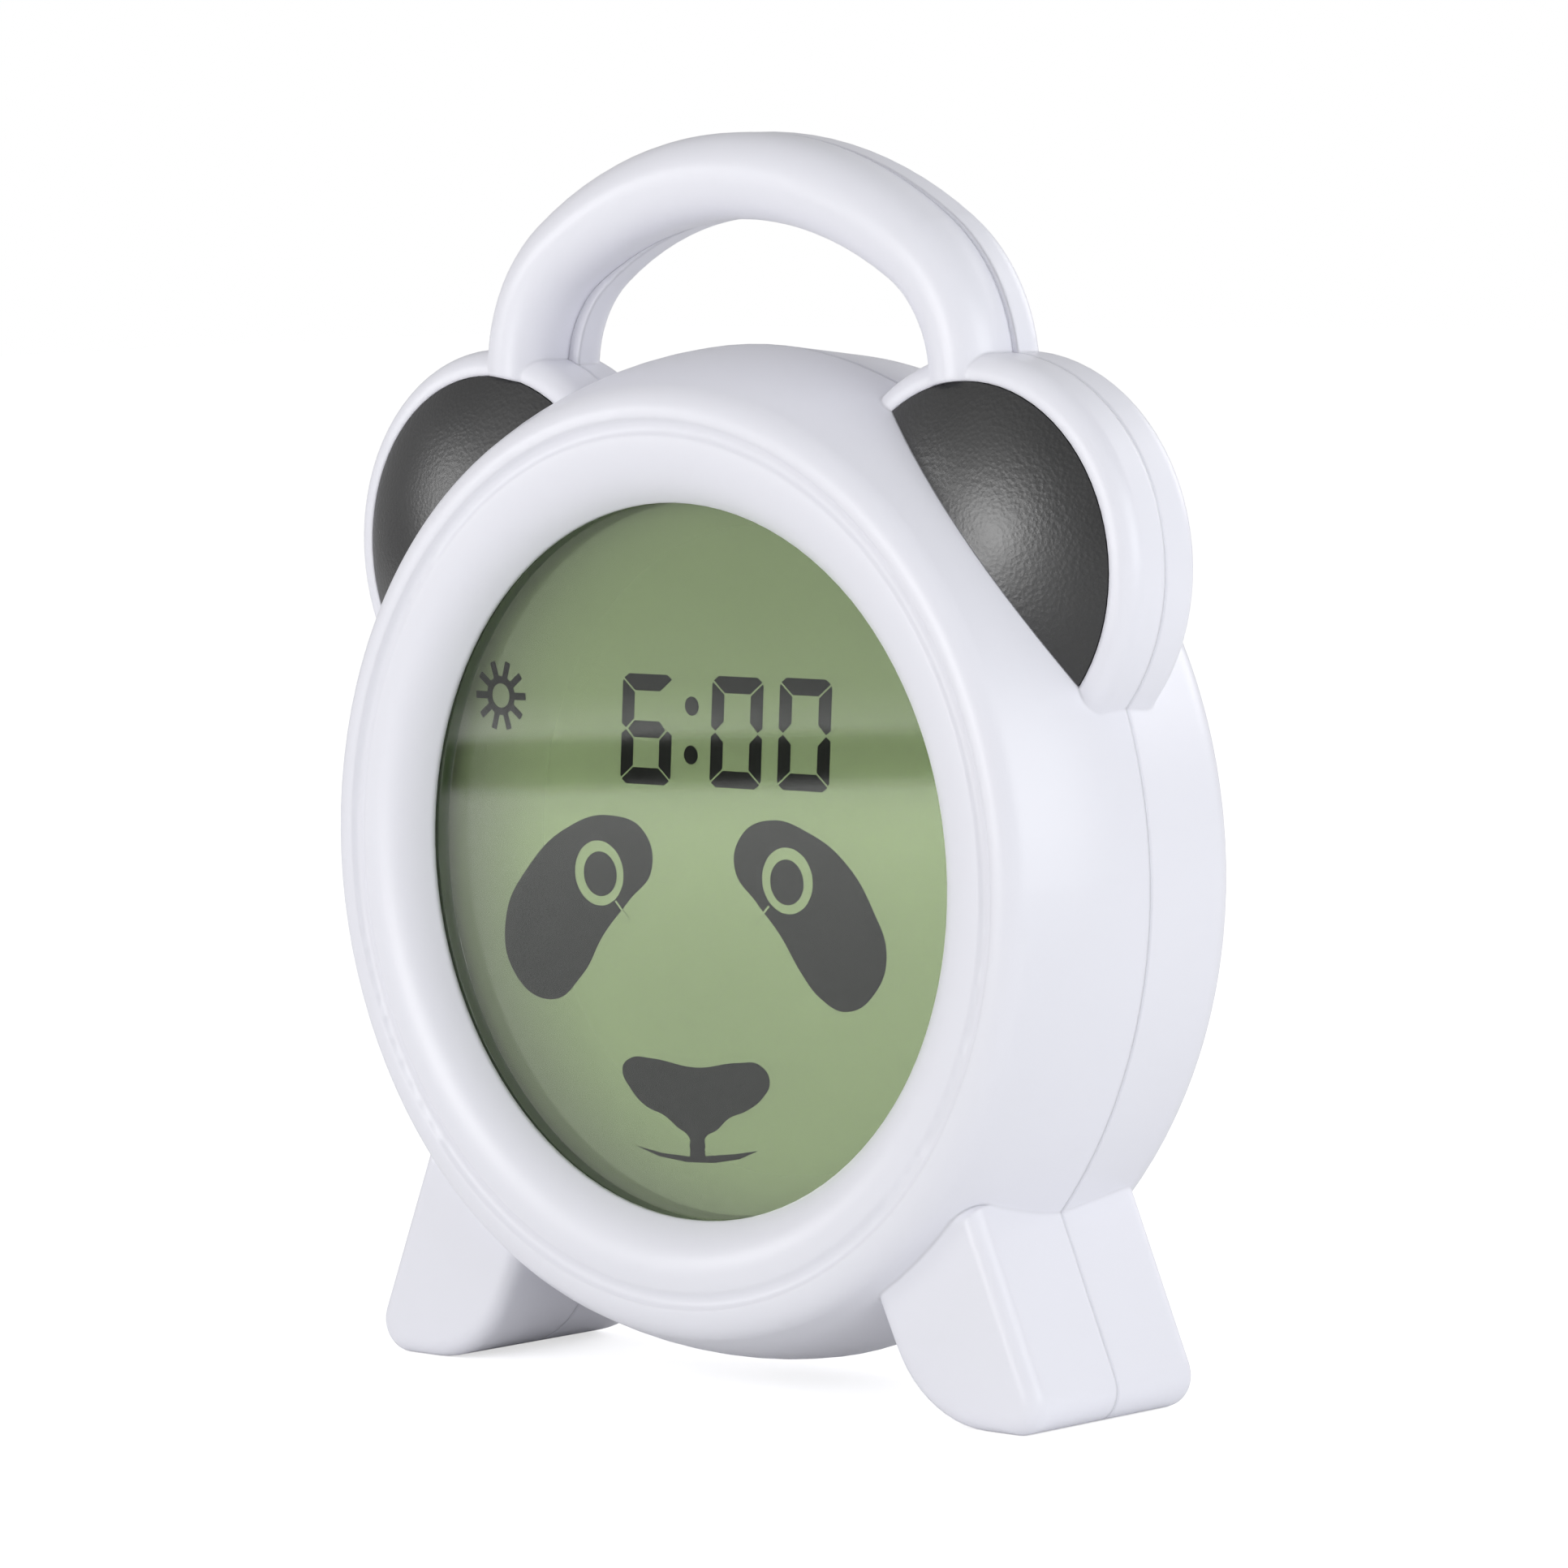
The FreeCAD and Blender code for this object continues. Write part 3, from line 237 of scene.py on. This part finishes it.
def material(name, base, rough=0.35, mottle=0.02, grain=1800.0, bump=0.02, metallic=0.0,
             coat=0.0, soft_edge=0.0, shine=0.5):
    made, tree, shader = new_material(name)
    settle(shader, {"Metallic": metallic, "Specular IOR Level": shine, "Coat Weight": coat,
                    "Coat Roughness": 0.12})
    surface = add_node(tree, "ShaderNodeGroup", (-500, 0),
                       node_tree=bpy.data.node_groups["moulded_surface"])
    settle(surface, {"Colour": (*base, 1), "Roughness": rough, "Mottle": mottle,
                     "Grain size": grain})
    tree.links.new(surface.outputs["Colour"], shader.inputs["Base Color"])
    tree.links.new(surface.outputs["Roughness"], shader.inputs["Roughness"])
    if not bump:
        return made
    relief = add_node(tree, "ShaderNodeBump", (-250, -300),
                      {"Strength": 1.0, "Distance": bump * MM})
    tree.links.new(surface.outputs["Height"], relief.inputs["Height"])
    if soft_edge:
        edge = add_node(tree, "ShaderNodeBevel", (-500, -400), {"Radius": soft_edge}, samples=6)
        tree.links.new(edge.outputs["Normal"], relief.inputs["Normal"])
    tree.links.new(relief.outputs["Normal"], shader.inputs["Normal"])
    return made


def leather_black(name, base):
    # Gloss black with a fine pebbled grain.
    made = material(name, base, rough=0.31, mottle=0.3, bump=0.0, shine=1.0)
    tree = made.node_tree
    shader = tree.nodes["Principled BSDF"]
    place = add_node(tree, "ShaderNodeTexCoord", (-1000, -500))
    cells = add_node(tree, "ShaderNodeTexVoronoi", (-750, -500), {"Scale": 1500.0})
    fine = add_node(tree, "ShaderNodeTexNoise", (-750, -750), {"Scale": 2600.0, "Detail": 3.0})
    both = add_node(tree, "ShaderNodeMath", (-450, -600), operation="ADD")
    relief = add_node(tree, "ShaderNodeBump", (-200, -500),
                      {"Strength": 0.5, "Distance": 0.05 * MM})
    link = tree.links.new
    link(place.outputs["Object"], cells.inputs["Vector"])
    link(place.outputs["Object"], fine.inputs["Vector"])
    link(cells.outputs["Distance"], both.inputs[0])
    link(fine.outputs["Fac"], both.inputs[1])
    link(both.outputs[0], relief.inputs["Height"])
    link(relief.outputs["Normal"], shader.inputs["Normal"])
    return made


def display_green(name, base):
    # Reflective display glass, matt and darkened by painted shade where the left rim stands over
    # it.
    made = material(name, base, rough=0.09, mottle=0.04, bump=0.0)
    tree = made.node_tree
    shader = tree.nodes["Principled BSDF"]
    surface = next(node for node in tree.nodes if node.type == "GROUP")
    place = add_node(tree, "ShaderNodeTexCoord", (-1300, -500))
    reach = add_node(tree, "ShaderNodeVectorMath", (-1100, -500), {1: RIM_MIDDLE},
                     operation="DISTANCE")
    rim = add_node(tree, "ShaderNodeMapRange", (-900, -500),
                   {"From Min": RIM_START, "From Max": RIM_END}, interpolation_type="SMOOTHSTEP")
    mirror = add_node(tree, "ShaderNodeMapRange", (-650, -650),
                      {"To Min": MIRROR, "To Max": 0.0})
    # Painted shade: the display colour falls from full to the rim factor outside the rim radius.
    painted_shade = add_node(tree, "ShaderNodeMapRange", (-650, -400),
                     {"To Min": 1.0, "To Max": PAINTED_RIM_SHADE})
    dim = add_node(tree, "ShaderNodeVectorMath", (-400, -200), operation="SCALE")
    link = tree.links.new
    link(place.outputs["Object"], reach.inputs[0])
    link(reach.outputs["Value"], rim.inputs["Value"])
    link(rim.outputs["Result"], mirror.inputs["Value"])
    link(rim.outputs["Result"], painted_shade.inputs["Value"])
    link(surface.outputs["Colour"], dim.inputs[0])
    link(painted_shade.outputs["Result"], dim.inputs["Scale"])
    link(dim.outputs[0], shader.inputs["Base Color"])
    link(mirror.outputs["Result"], shader.inputs["Metallic"])
    return made


def window_glass(name):
    # Clear acrylic: shadow and diffuse rays pass it freely and light the display below.
    made, tree, shader = new_material(name)
    settle(shader, {"Base Color": (0.97, 0.99, 0.97, 1), "Transmission Weight": 1.0,
                    "Roughness": 0.015, "IOR": 1.49})
    output = tree.nodes["Material Output"]
    clear = add_node(tree, "ShaderNodeBsdfTransparent", (0, -300))
    path = add_node(tree, "ShaderNodeLightPath", (-300, 300))
    either = add_node(tree, "ShaderNodeMath", (-50, 300), operation="MAXIMUM")
    mix = add_node(tree, "ShaderNodeMixShader", (300, 0))
    link = tree.links.new
    link(path.outputs["Is Shadow Ray"], either.inputs[0])
    link(path.outputs["Is Diffuse Ray"], either.inputs[1])
    link(either.outputs[0], mix.inputs["Fac"])
    link(shader.outputs[0], mix.inputs[1])
    link(clear.outputs[0], mix.inputs[2])
    link(mix.outputs[0], output.inputs["Surface"])
    return made


def dress(names, finish):
    for name in names:
        target = NODES[name]
        target.data.materials.clear()
        target.data.materials.append(finish)
        for face in target.data.polygons:
            face.material_index = 0


class CLOCK_OT_finishes(bpy.types.Operator):
    """Give every moulded, glass and metal piece its finish."""
    bl_idname = "clock.finishes"
    bl_label = "Finishes"

    def execute(self, context):
        tone = context.scene.clock_colours
        moulded_surface()
        dress(("front_shell", "rear_shell", "battery_door"),
              material("white_moulding", tone.shell, rough=0.34, mottle=0.012, grain=2200.0,
                       bump=0.006, soft_edge=0.0009))
        dress(("ear_panel_left", "ear_panel_right"), leather_black("ear_black", tone.ear))
        dress(("window_lens",), window_glass("window_acrylic"))
        dress(("lcd_glass",), display_green("display_green", tone.display))
        # Dark ring whose green tint is a painted reflection of the display.
        dress(("lens_gasket",), material("gasket_olive_painted_reflection", tone.gasket, rough=0.3, bump=0.004))
        dress(["button_" + name for name in KEYS],
              material("key_grey", tone.keys, rough=0.45, grain=1500.0))
        dress(("display_frame", "speaker_clamp"),
              material("frame_white", (0.6, 0.6, 0.6), rough=0.5))
        dress(("light_guide",), material("guide_frost", (0.75, 0.8, 0.72), rough=0.4))
        dress(("reflector_sheet",), material("foil_white", (0.85, 0.85, 0.85), rough=0.3))
        dress(("night_light_leds",), material("led_warm", (0.85, 0.78, 0.5), rough=0.4))
        dress(("display_board", "key_board"),
              material("board_green", (0.02, 0.12, 0.05), rough=0.4, mottle=0.15))
        dress(("lcd_connectors", "tact_switches"),
              material("part_black", (0.03, 0.03, 0.03), rough=0.5))
        dress(("speaker",), material("speaker_black", (0.02, 0.02, 0.022), rough=0.6, mottle=0.2))
        dress(("case_screws", "display_screws", "key_board_screws", "speaker_screws",
               "battery_door_screw", "battery_contacts_left", "battery_contacts_right"),
              material("plated_steel", (0.62, 0.61, 0.58), rough=0.3, mottle=0.1, metallic=1.0))
        dress(("battery_cells",),
              material("cell_jacket", (0.02, 0.022, 0.03), rough=0.28, mottle=0.1, coat=0.4))
        return {"FINISHED"}


# Geometry node groups.
def scaled(tree, socket, factor):
    node = add_node(tree, "ShaderNodeMath", inputs={1: factor}, operation="MULTIPLY")
    tree.links.new(socket, node.inputs[0])
    return node.outputs[0]


def raised(tree, mesh, height):
    place = add_node(tree, "GeometryNodeTransform")
    spot = add_node(tree, "ShaderNodeCombineXYZ")
    tree.links.new(height, spot.inputs["Z"])
    tree.links.new(mesh, place.inputs["Geometry"])
    tree.links.new(spot.outputs[0], place.inputs["Translation"])
    return place.outputs[0]


def painted(tree, copies, finish, take):
    real = add_node(tree, "GeometryNodeRealizeInstances")
    paint = add_node(tree, "GeometryNodeSetMaterial")
    tree.links.new(copies.outputs[0], real.inputs[0])
    tree.links.new(real.outputs[0], paint.inputs["Geometry"])
    tree.links.new(finish, paint.inputs["Material"])
    tree.links.new(paint.outputs[0], take.inputs[0])


def screw_tree():
    # One pan-head screw with a cross recess, set on every point of the incoming mesh.
    tree, give, take = new_tree(
        "recessed_screws", "GeometryNodeTree",
        {"Geometry": "Geometry", "Head radius": "Float", "Head height": "Float",
         "Shank radius": "Float", "Shank length": "Float", "Steel": "Material"},
        {"Geometry": "Geometry"})
    link = tree.links.new
    head_radius, head_height = give.outputs["Head radius"], give.outputs["Head height"]

    def cylinder(radius, depth, shift):
        body = add_node(tree, "GeometryNodeMeshCylinder", inputs={"Vertices": SCREW_SIDES})
        link(radius, body.inputs["Radius"])
        link(depth, body.inputs["Depth"])
        return raised(tree, body.outputs["Mesh"], scaled(tree, depth, shift))

    def bar(long, wide):
        box = add_node(tree, "GeometryNodeMeshCube")
        size = add_node(tree, "ShaderNodeCombineXYZ")
        link(scaled(tree, head_radius, long), size.inputs["X"])
        link(scaled(tree, head_radius, wide), size.inputs["Y"])
        link(scaled(tree, head_height, RECESS_HIGH), size.inputs["Z"])
        link(size.outputs[0], box.inputs["Size"])
        return raised(tree, box.outputs["Mesh"], head_height)
    carve = add_node(tree, "GeometryNodeMeshBoolean", operation="DIFFERENCE")
    link(cylinder(head_radius, head_height, 0.5), carve.inputs["Mesh 1"])
    link(bar(RECESS_LONG, RECESS_WIDE), carve.inputs["Mesh 2"])
    link(bar(RECESS_WIDE, RECESS_LONG), carve.inputs["Mesh 2"])
    join = add_node(tree, "GeometryNodeJoinGeometry")
    link(carve.outputs["Mesh"], join.inputs[0])
    link(cylinder(give.outputs["Shank radius"], give.outputs["Shank length"], -0.5),
         join.inputs[0])
    copies = add_node(tree, "GeometryNodeInstanceOnPoints")
    link(give.outputs["Geometry"], copies.inputs["Points"])
    link(join.outputs[0], copies.inputs["Instance"])
    painted(tree, copies, give.outputs["Steel"], take)
    return tree


def sun_tree():
    # Flat rays, evenly spaced and turned away from the middle.
    tree, give, take = new_tree(
        "sun_rays", "GeometryNodeTree",
        {"Geometry": "Geometry", "Rays": "Int", "Reach": "Float", "Width": "Float",
         "Ink": "Material"},
        {"Geometry": "Geometry"})
    link = tree.links.new
    ring = add_node(tree, "GeometryNodeMeshCircle")
    bar = add_node(tree, "GeometryNodeCurvePrimitiveQuadrilateral")
    fill = add_node(tree, "GeometryNodeFillCurve")
    spot = add_node(tree, "GeometryNodeInputPosition")
    aim = add_node(tree, "FunctionNodeAlignRotationToVector", axis="X")
    copies = add_node(tree, "GeometryNodeInstanceOnPoints")
    link(give.outputs["Rays"], ring.inputs["Vertices"])
    link(scaled(tree, give.outputs["Reach"], RAY_MIDDLE), ring.inputs["Radius"])
    link(scaled(tree, give.outputs["Reach"], RAY_LENGTH), bar.inputs["Width"])
    link(give.outputs["Width"], bar.inputs["Height"])
    link(bar.outputs[0], fill.inputs[0])
    link(ring.outputs[0], copies.inputs["Points"])
    link(fill.outputs[0], copies.inputs["Instance"])
    link(spot.outputs[0], aim.inputs["Vector"])
    link(aim.outputs[0], copies.inputs["Rotation"])
    painted(tree, copies, give.outputs["Ink"], take)
    return tree


def built_from(tree, points, settings):
    # Runs a node tree on loose points and gives the finished mesh.
    mesh = bpy.data.meshes.new("seed")
    mesh.from_pydata(points, [], [])
    seed = bpy.data.objects.new("seed", mesh)
    bpy.context.collection.objects.link(seed)
    step = seed.modifiers.new("nodes", "NODES")
    step.node_group = tree
    sockets = {item.name: item.identifier for item in tree.interface.items_tree
               if item.in_out == "INPUT"}
    for name, setting in settings.items():
        step[sockets[name]] = setting
    return final_mesh(seed)


def final_mesh(holder):
    # The evaluated mesh of a helper object, which goes.
    bpy.context.view_layer.update()
    graph = bpy.context.evaluated_depsgraph_get()
    mesh = bpy.data.meshes.new_from_object(holder.evaluated_get(graph))
    bpy.data.objects.remove(holder)
    return mesh


class CLOCK_OT_screws(bpy.types.Operator):
    """Put cross-recessed screws in place of the plain case and battery door screws."""
    bl_idname = "clock.screws"
    bl_label = "Screws"

    def execute(self, context):
        tree = screw_tree()
        for node, radius, height, shank in SCREWS:
            low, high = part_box(node)
            rim = radius * MM
            # One screw where the node is about as wide as a head, else one at each end.
            across, heights = [[a + rim, b - rim] if b - a > 3 * rim else [(a + b) / 2]
                               for a, b in ((low.x, high.x), (low.z, high.z))]
            seat = high.y - height * MM
            mesh = built_from(tree, [(x, -z, 0) for x in across for z in heights], {
                "Head radius": rim, "Head height": height * MM, "Shank radius": shank * MM,
                "Shank length": seat - low.y, "Steel": bpy.data.materials["plated_steel"]})
            mesh.transform(Matrix.Translation((0, seat, 0))
                           @ Matrix.Rotation(-math.pi / 2, 4, "X"))
            piece = bpy.data.objects.new(node + "_recessed", mesh)
            context.collection.objects.link(piece)
            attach(piece, "battery_door" if node == "battery_door_screw" else "clock")
            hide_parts(node)
        return {"FINISHED"}


# Display figures lie just in front of the glass.
def on_display(name, mesh, lift, across=0.0, up=0.0):
    mesh.transform(Matrix.Translation((HEAD.x + across * MM, LCD_FRONT - lift, HEAD.z + up * MM))
                   @ Matrix.Rotation(math.pi / 2, 4, "X"))
    piece = bpy.data.objects.new(name, mesh)
    bpy.context.collection.objects.link(piece)
    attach(piece, "clock")


def flat_piece(name, loops, finish, lift, smooth=False):
    curve = bpy.data.curves.new(name, "CURVE")
    curve.dimensions = "2D"
    curve.fill_mode = "BOTH"
    curve.resolution_u = 10
    for loop in loops:
        if smooth:
            line = curve.splines.new("BEZIER")
            line.bezier_points.add(len(loop) - 1)
            for knot, (across, up) in zip(line.bezier_points, loop):
                knot.co = (across * MM, up * MM, 0)
                knot.handle_left_type = knot.handle_right_type = "AUTO"
        else:
            line = curve.splines.new("POLY")
            line.points.add(len(loop) - 1)
            for knot, (across, up) in zip(line.points, loop):
                knot.co = (across * MM, up * MM, 0, 1)
        line.use_cyclic_u = True
    holder = bpy.data.objects.new(name + "_line", curve)
    bpy.context.collection.objects.link(holder)
    mesh = final_mesh(holder)
    mesh.materials.clear()
    mesh.materials.append(finish)
    on_display(name, mesh, lift)


def circle(across, up, radius, count=48, wide=1.0):
    turns = [2 * math.pi * n / count for n in range(count)]
    return [(across + wide * radius * math.cos(turn), up + radius * math.sin(turn))
            for turn in turns]


def digit_loops(char, left, low, width, height, stroke, lean):
    # Segments a to g run clockwise from the top bar, and g is the middle bar. The bars and the
    # uprights of the lower half and of the right side mirror those drawn here.
    gap, half, cut = SEGMENT_GAP, height / 2, stroke * SEGMENT_CUT
    level = [(cut + gap, height), (width - cut - gap, height),
             (width - gap * 2, height - cut * 0.6), (width - stroke - gap, height - stroke),
             (stroke + gap, height - stroke), (gap * 2, height - cut * 0.6)]
    upright = [(0, height - cut - gap), (gap, height - cut * 0.6 - gap * 2),
               (stroke, height - stroke - gap * 2), (stroke, half + stroke * 0.5 + gap * 2),
               (stroke * 0.35, half + gap), (0, half + stroke * 0.3)]
    middle = [(stroke * 0.55, half), (stroke + gap, half + stroke * 0.5),
              (width - stroke - gap, half + stroke * 0.5), (width - stroke * 0.55, half),
              (width - stroke - gap, half - stroke * 0.5), (stroke + gap, half - stroke * 0.5)]

    def lowered(loop):
        return [(x, height - z) for x, z in loop]

    def crossed(loop):
        return [(width - x, z) for x, z in loop]
    shapes = {"a": level, "b": crossed(upright), "c": crossed(lowered(upright)),
              "d": lowered(level), "e": lowered(upright), "f": upright, "g": middle}
    return [[(left + x + lean * z / height, low + z) for x, z in shapes[key]]
            for key in SEGMENTS[char]]


class CLOCK_OT_time(bpy.types.Operator):
    """Draw the time digits and the colon on the display."""
    bl_idname = "clock.time"
    bl_label = "Time digits"

    def execute(self, context):
        size = context.scene.clock_display
        ink = material("display_ink", context.scene.clock_colours.figure, rough=0.5, mottle=0.1,
                       bump=0.0, shine=0.0)
        width, height, stroke, lean = (span / MM for span in (
            size.digit_width, size.digit_height, size.stroke, size.digit_lean))
        loops = []
        for char, left, low in DIGITS:
            loops += digit_loops(char, left, low, width, height, stroke, lean)
        loops += [circle(*dot, COLON_RADIUS) for dot in COLON_DOTS]
        flat_piece("display_time", loops, ink, size.lift)
        return {"FINISHED"}


class CLOCK_OT_face(bpy.types.Operator):
    """Draw the plain animal face on the display."""
    bl_idname = "clock.face"
    bl_label = "Animal face"

    def execute(self, context):
        lift = context.scene.clock_display.lift
        ink = bpy.data.materials["display_ink"]
        for name, patch, iris in (("left", EYE_LEFT, IRIS_LEFT), ("right", EYE_RIGHT, IRIS_RIGHT)):
            hole = circle(*iris, IRIS_RADIUS, IRIS_POINTS, IRIS_WIDE)
            flat_piece("display_eye_" + name, [patch, hole], ink, lift, True)
        pupils = [circle(*spot, PUPIL_RADIUS, PUPIL_POINTS, wide) for spot, wide in (
            (PUPIL_LEFT, PUPIL_WIDE_LEFT), (PUPIL_RIGHT, PUPIL_WIDE_RIGHT))]
        flat_piece("display_pupils", pupils, ink, lift)
        for name, start, end in GAP_LINES:
            slope = (Vector(end) - Vector(start)).normalized() * GAP_HALF
            loop = [(start[0] - slope.y, start[1] + slope.x), (end[0] - slope.y, end[1] + slope.x),
                    (end[0] + slope.y, end[1] - slope.x), (start[0] + slope.y, start[1] - slope.x)]
            flat_piece("display_gap_" + name, [loop], bpy.data.materials["display_green"],
                       lift * GAP_LIFT)
        flat_piece("display_nose", [NOSE], ink, lift, True)
        flat_piece("display_mouth", [MOUTH], ink, lift)
        return {"FINISHED"}


class CLOCK_OT_sun(bpy.types.Operator):
    """Draw the sun sign: a ring with evenly spaced rays."""
    bl_idname = "clock.sun"
    bl_label = "Sun sign"

    def execute(self, context):
        size = context.scene.clock_display
        ink = bpy.data.materials["display_ink"]
        rays = built_from(sun_tree(), [], {
            "Rays": size.sun_rays, "Reach": size.sun_reach, "Width": RAY_WIDTH, "Ink": ink})
        on_display("display_sun_rays", rays, size.lift, *SUN)
        flat_piece("display_sun_ring", [circle(*SUN, radius) for radius in SUN_RING], ink,
                   size.lift)
        return {"FINISHED"}


class CLOCK_OT_stage(bpy.types.Operator):
    """Set up the floor, the even white light, the lamps and the camera."""
    bl_idname = "clock.stage"
    bl_label = "Stage"

    def execute(self, context):
        scene = context.scene
        setup = scene.clock_studio
        scene.view_settings.view_transform = "Standard"
        self.room(scene, setup.fill)
        self.floor()
        self.strip()
        for name, spot, aim, setting, share, size, tone in LAMPS:
            self.lamp(name, spot, aim, getattr(setup, setting) * share, size, tone)
        self.camera(scene, setup.lens)
        return {"FINISHED"}

    def room(self, scene, fill):
        # The camera sees full white, and everything else is lit by the fill.
        world = bpy.data.worlds.new("white_room")
        scene.world = world
        world.use_nodes = True
        tree = world.node_tree
        back = settle(tree.nodes["Background"], {"Color": (1, 1, 1, 1)})
        path = add_node(tree, "ShaderNodeLightPath", (-900, 0))
        seen = add_node(tree, "ShaderNodeMath", (-700, 0), operation="MAXIMUM")
        level = add_node(tree, "ShaderNodeMapRange", (-300, 0), {"To Min": fill, "To Max": 1.0})
        link = tree.links.new
        link(path.outputs["Is Camera Ray"], seen.inputs[0])
        link(path.outputs["Is Transmission Ray"], seen.inputs[1])
        link(seen.outputs[0], level.inputs["Value"])
        link(level.outputs[0], back.inputs["Strength"])

    def sheet(self, name, corners, finish):
        mesh = bpy.data.meshes.new(name)
        mesh.from_pydata(corners, [], [(0, 1, 2, 3)])
        mesh.materials.append(finish)
        piece = bpy.data.objects.new(name, mesh)
        bpy.context.collection.objects.link(piece)
        return piece

    def floor(self):
        # The floor glows for the camera, so that it is as white as the room, but lights nothing.
        finish, tree, shader = new_material("floor_white")
        settle(shader, {"Base Color": (0.95, 0.95, 0.95, 1), "Roughness": 0.9,
                        "Specular IOR Level": 0.1, "Emission Color": (1, 1, 1, 1)})
        sight = add_node(tree, "ShaderNodeLightPath", (-600, 300))
        glow = add_node(tree, "ShaderNodeMath", (-300, 300), {1: FLOOR_SEEN},
                        operation="MULTIPLY")
        through = add_node(tree, "ShaderNodeMath", (-300, 500), {1: FLOOR_THROUGH},
                           operation="MULTIPLY")
        total = add_node(tree, "ShaderNodeMath", (-100, 400), operation="ADD")
        link = tree.links.new
        link(sight.outputs["Is Camera Ray"], glow.inputs[0])
        link(sight.outputs["Is Transmission Ray"], through.inputs[0])
        link(glow.outputs[0], total.inputs[0])
        link(through.outputs[0], total.inputs[1])
        link(total.outputs[0], shader.inputs["Emission Strength"])
        reach = FLOOR_REACH
        floor = self.sheet("floor", [(-reach, -reach, 0), (reach, -reach, 0), (reach, reach, 0),
                                     (-reach, reach, 0)], finish)

    def strip(self):
        # A dark strip lies out in front of the window, where only the window's reflection meets it.
        dark, tree, shader = new_material("strip_dark")
        settle(shader, {"Base Color": (0.02, 0.02, 0.02, 1), "Roughness": 0.9})
        place = add_node(tree, "ShaderNodeTexCoord", (-900, 0))
        along = add_node(tree, "ShaderNodeVectorMath", (-700, 0), {1: STRIP_AHEAD},
                         operation="DOT_PRODUCT")
        off = add_node(tree, "ShaderNodeMath", (-500, 0), {1: STRIP_MIDDLE}, operation="SUBTRACT")
        size = add_node(tree, "ShaderNodeMath", (-300, 0), operation="ABSOLUTE")
        fade = add_node(tree, "ShaderNodeMapRange", (-100, 0),
                        {"From Min": STRIP_FULL, "From Max": STRIP_GONE, "To Min": 1.0,
                         "To Max": 0.0}, interpolation_type="SMOOTHSTEP")
        clear = add_node(tree, "ShaderNodeBsdfTransparent", (0, -300))
        mix = add_node(tree, "ShaderNodeMixShader", (300, 0))
        link = tree.links.new
        link(place.outputs["Object"], along.inputs[0])
        link(along.outputs["Value"], off.inputs[0])
        link(off.outputs[0], size.inputs[0])
        link(size.outputs[0], fade.inputs["Value"])
        link(fade.outputs["Result"], mix.inputs["Fac"])
        link(clear.outputs[0], mix.inputs[1])
        link(shader.outputs[0], mix.inputs[2])
        link(mix.outputs[0], tree.nodes["Material Output"].inputs["Surface"])
        spots = [STRIP_AHEAD * near + STRIP_ACROSS * side for near, side in (
            (STRIP_NEAR, -STRIP_HALF), (STRIP_NEAR, STRIP_HALF), (STRIP_FAR, STRIP_HALF),
            (STRIP_FAR, -STRIP_HALF))]
        piece = self.sheet("strip", [(spot.x, spot.y, STRIP_RISE) for spot in spots], dark)
        piece.visible_camera = False
        piece.visible_diffuse = False
        piece.visible_shadow = False

    def lamp(self, name, spot, aim, strength, size, tone):
        light = bpy.data.lights.new(name, "AREA")
        light.shape = "SQUARE"
        light.size = size
        light.energy = strength
        light.color = tone
        holder = bpy.data.objects.new(name, light)
        bpy.context.collection.objects.link(holder)
        holder.location = spot
        holder.rotation_euler = (Vector(aim) - Vector(spot)).to_track_quat("-Z", "Y").to_euler()

    def camera(self, scene, lens):
        yaw, pitch, roll = (math.radians(turn) for turn in CAMERA_TURNS)
        ahead = Vector((-math.sin(yaw) * math.cos(pitch), math.cos(yaw) * math.cos(pitch),
                        -math.sin(pitch)))
        level = Vector((math.cos(yaw), math.sin(yaw), 0))
        upright = level.cross(ahead)
        right = level * math.cos(roll) + upright * math.sin(roll)
        up = upright * math.cos(roll) - level * math.sin(roll)
        view = bpy.data.cameras.new("camera")
        view.lens = lens
        view.sensor_fit = "HORIZONTAL"
        view.sensor_width = SENSOR_WIDTH
        view.clip_start = 0.05
        view.clip_end = 50.0
        holder = bpy.data.objects.new("camera", view)
        bpy.context.collection.objects.link(holder)
        turn = Matrix((right, up, -ahead)).transposed().to_4x4()
        holder.matrix_world = Matrix.Translation(CAMERA_AT) @ turn
        scene.camera = holder


STEPS = (CLOCK_OT_finishes, CLOCK_OT_screws, CLOCK_OT_time, CLOCK_OT_face, CLOCK_OT_sun,
         CLOCK_OT_stage)


class CLOCK_PT_panel(bpy.types.Panel):
    bl_label = "Clock"
    bl_idname = "CLOCK_PT_panel"
    bl_space_type = "VIEW_3D"
    bl_region_type = "UI"
    bl_category = "Clock"

    def draw(self, context):
        for group in SETTINGS:
            box = self.layout.box()
            settings = getattr(context.scene, group)
            for name in settings.__annotations__:
                box.prop(settings, name)
        for step in STEPS:
            self.layout.operator(step.bl_idname)


SETTINGS = {"clock_colours": ClockColours, "clock_display": ClockDisplay,
            "clock_studio": ClockStudio}
CLASSES = (*SETTINGS.values(), *STEPS, CLOCK_PT_panel)


def register():
    for item in CLASSES:
        bpy.utils.register_class(item)
    for name, group in SETTINGS.items():
        setattr(bpy.types.Scene, name, bpy.props.PointerProperty(type=group))


def unregister():
    for name in SETTINGS:
        delattr(bpy.types.Scene, name)
    for item in reversed(CLASSES):
        bpy.utils.unregister_class(item)


def main():
    register()
    for step in STEPS:
        group, name = step.bl_idname.split(".")
        getattr(getattr(bpy.ops, group), name)()


if __name__ == "__main__":
    main()
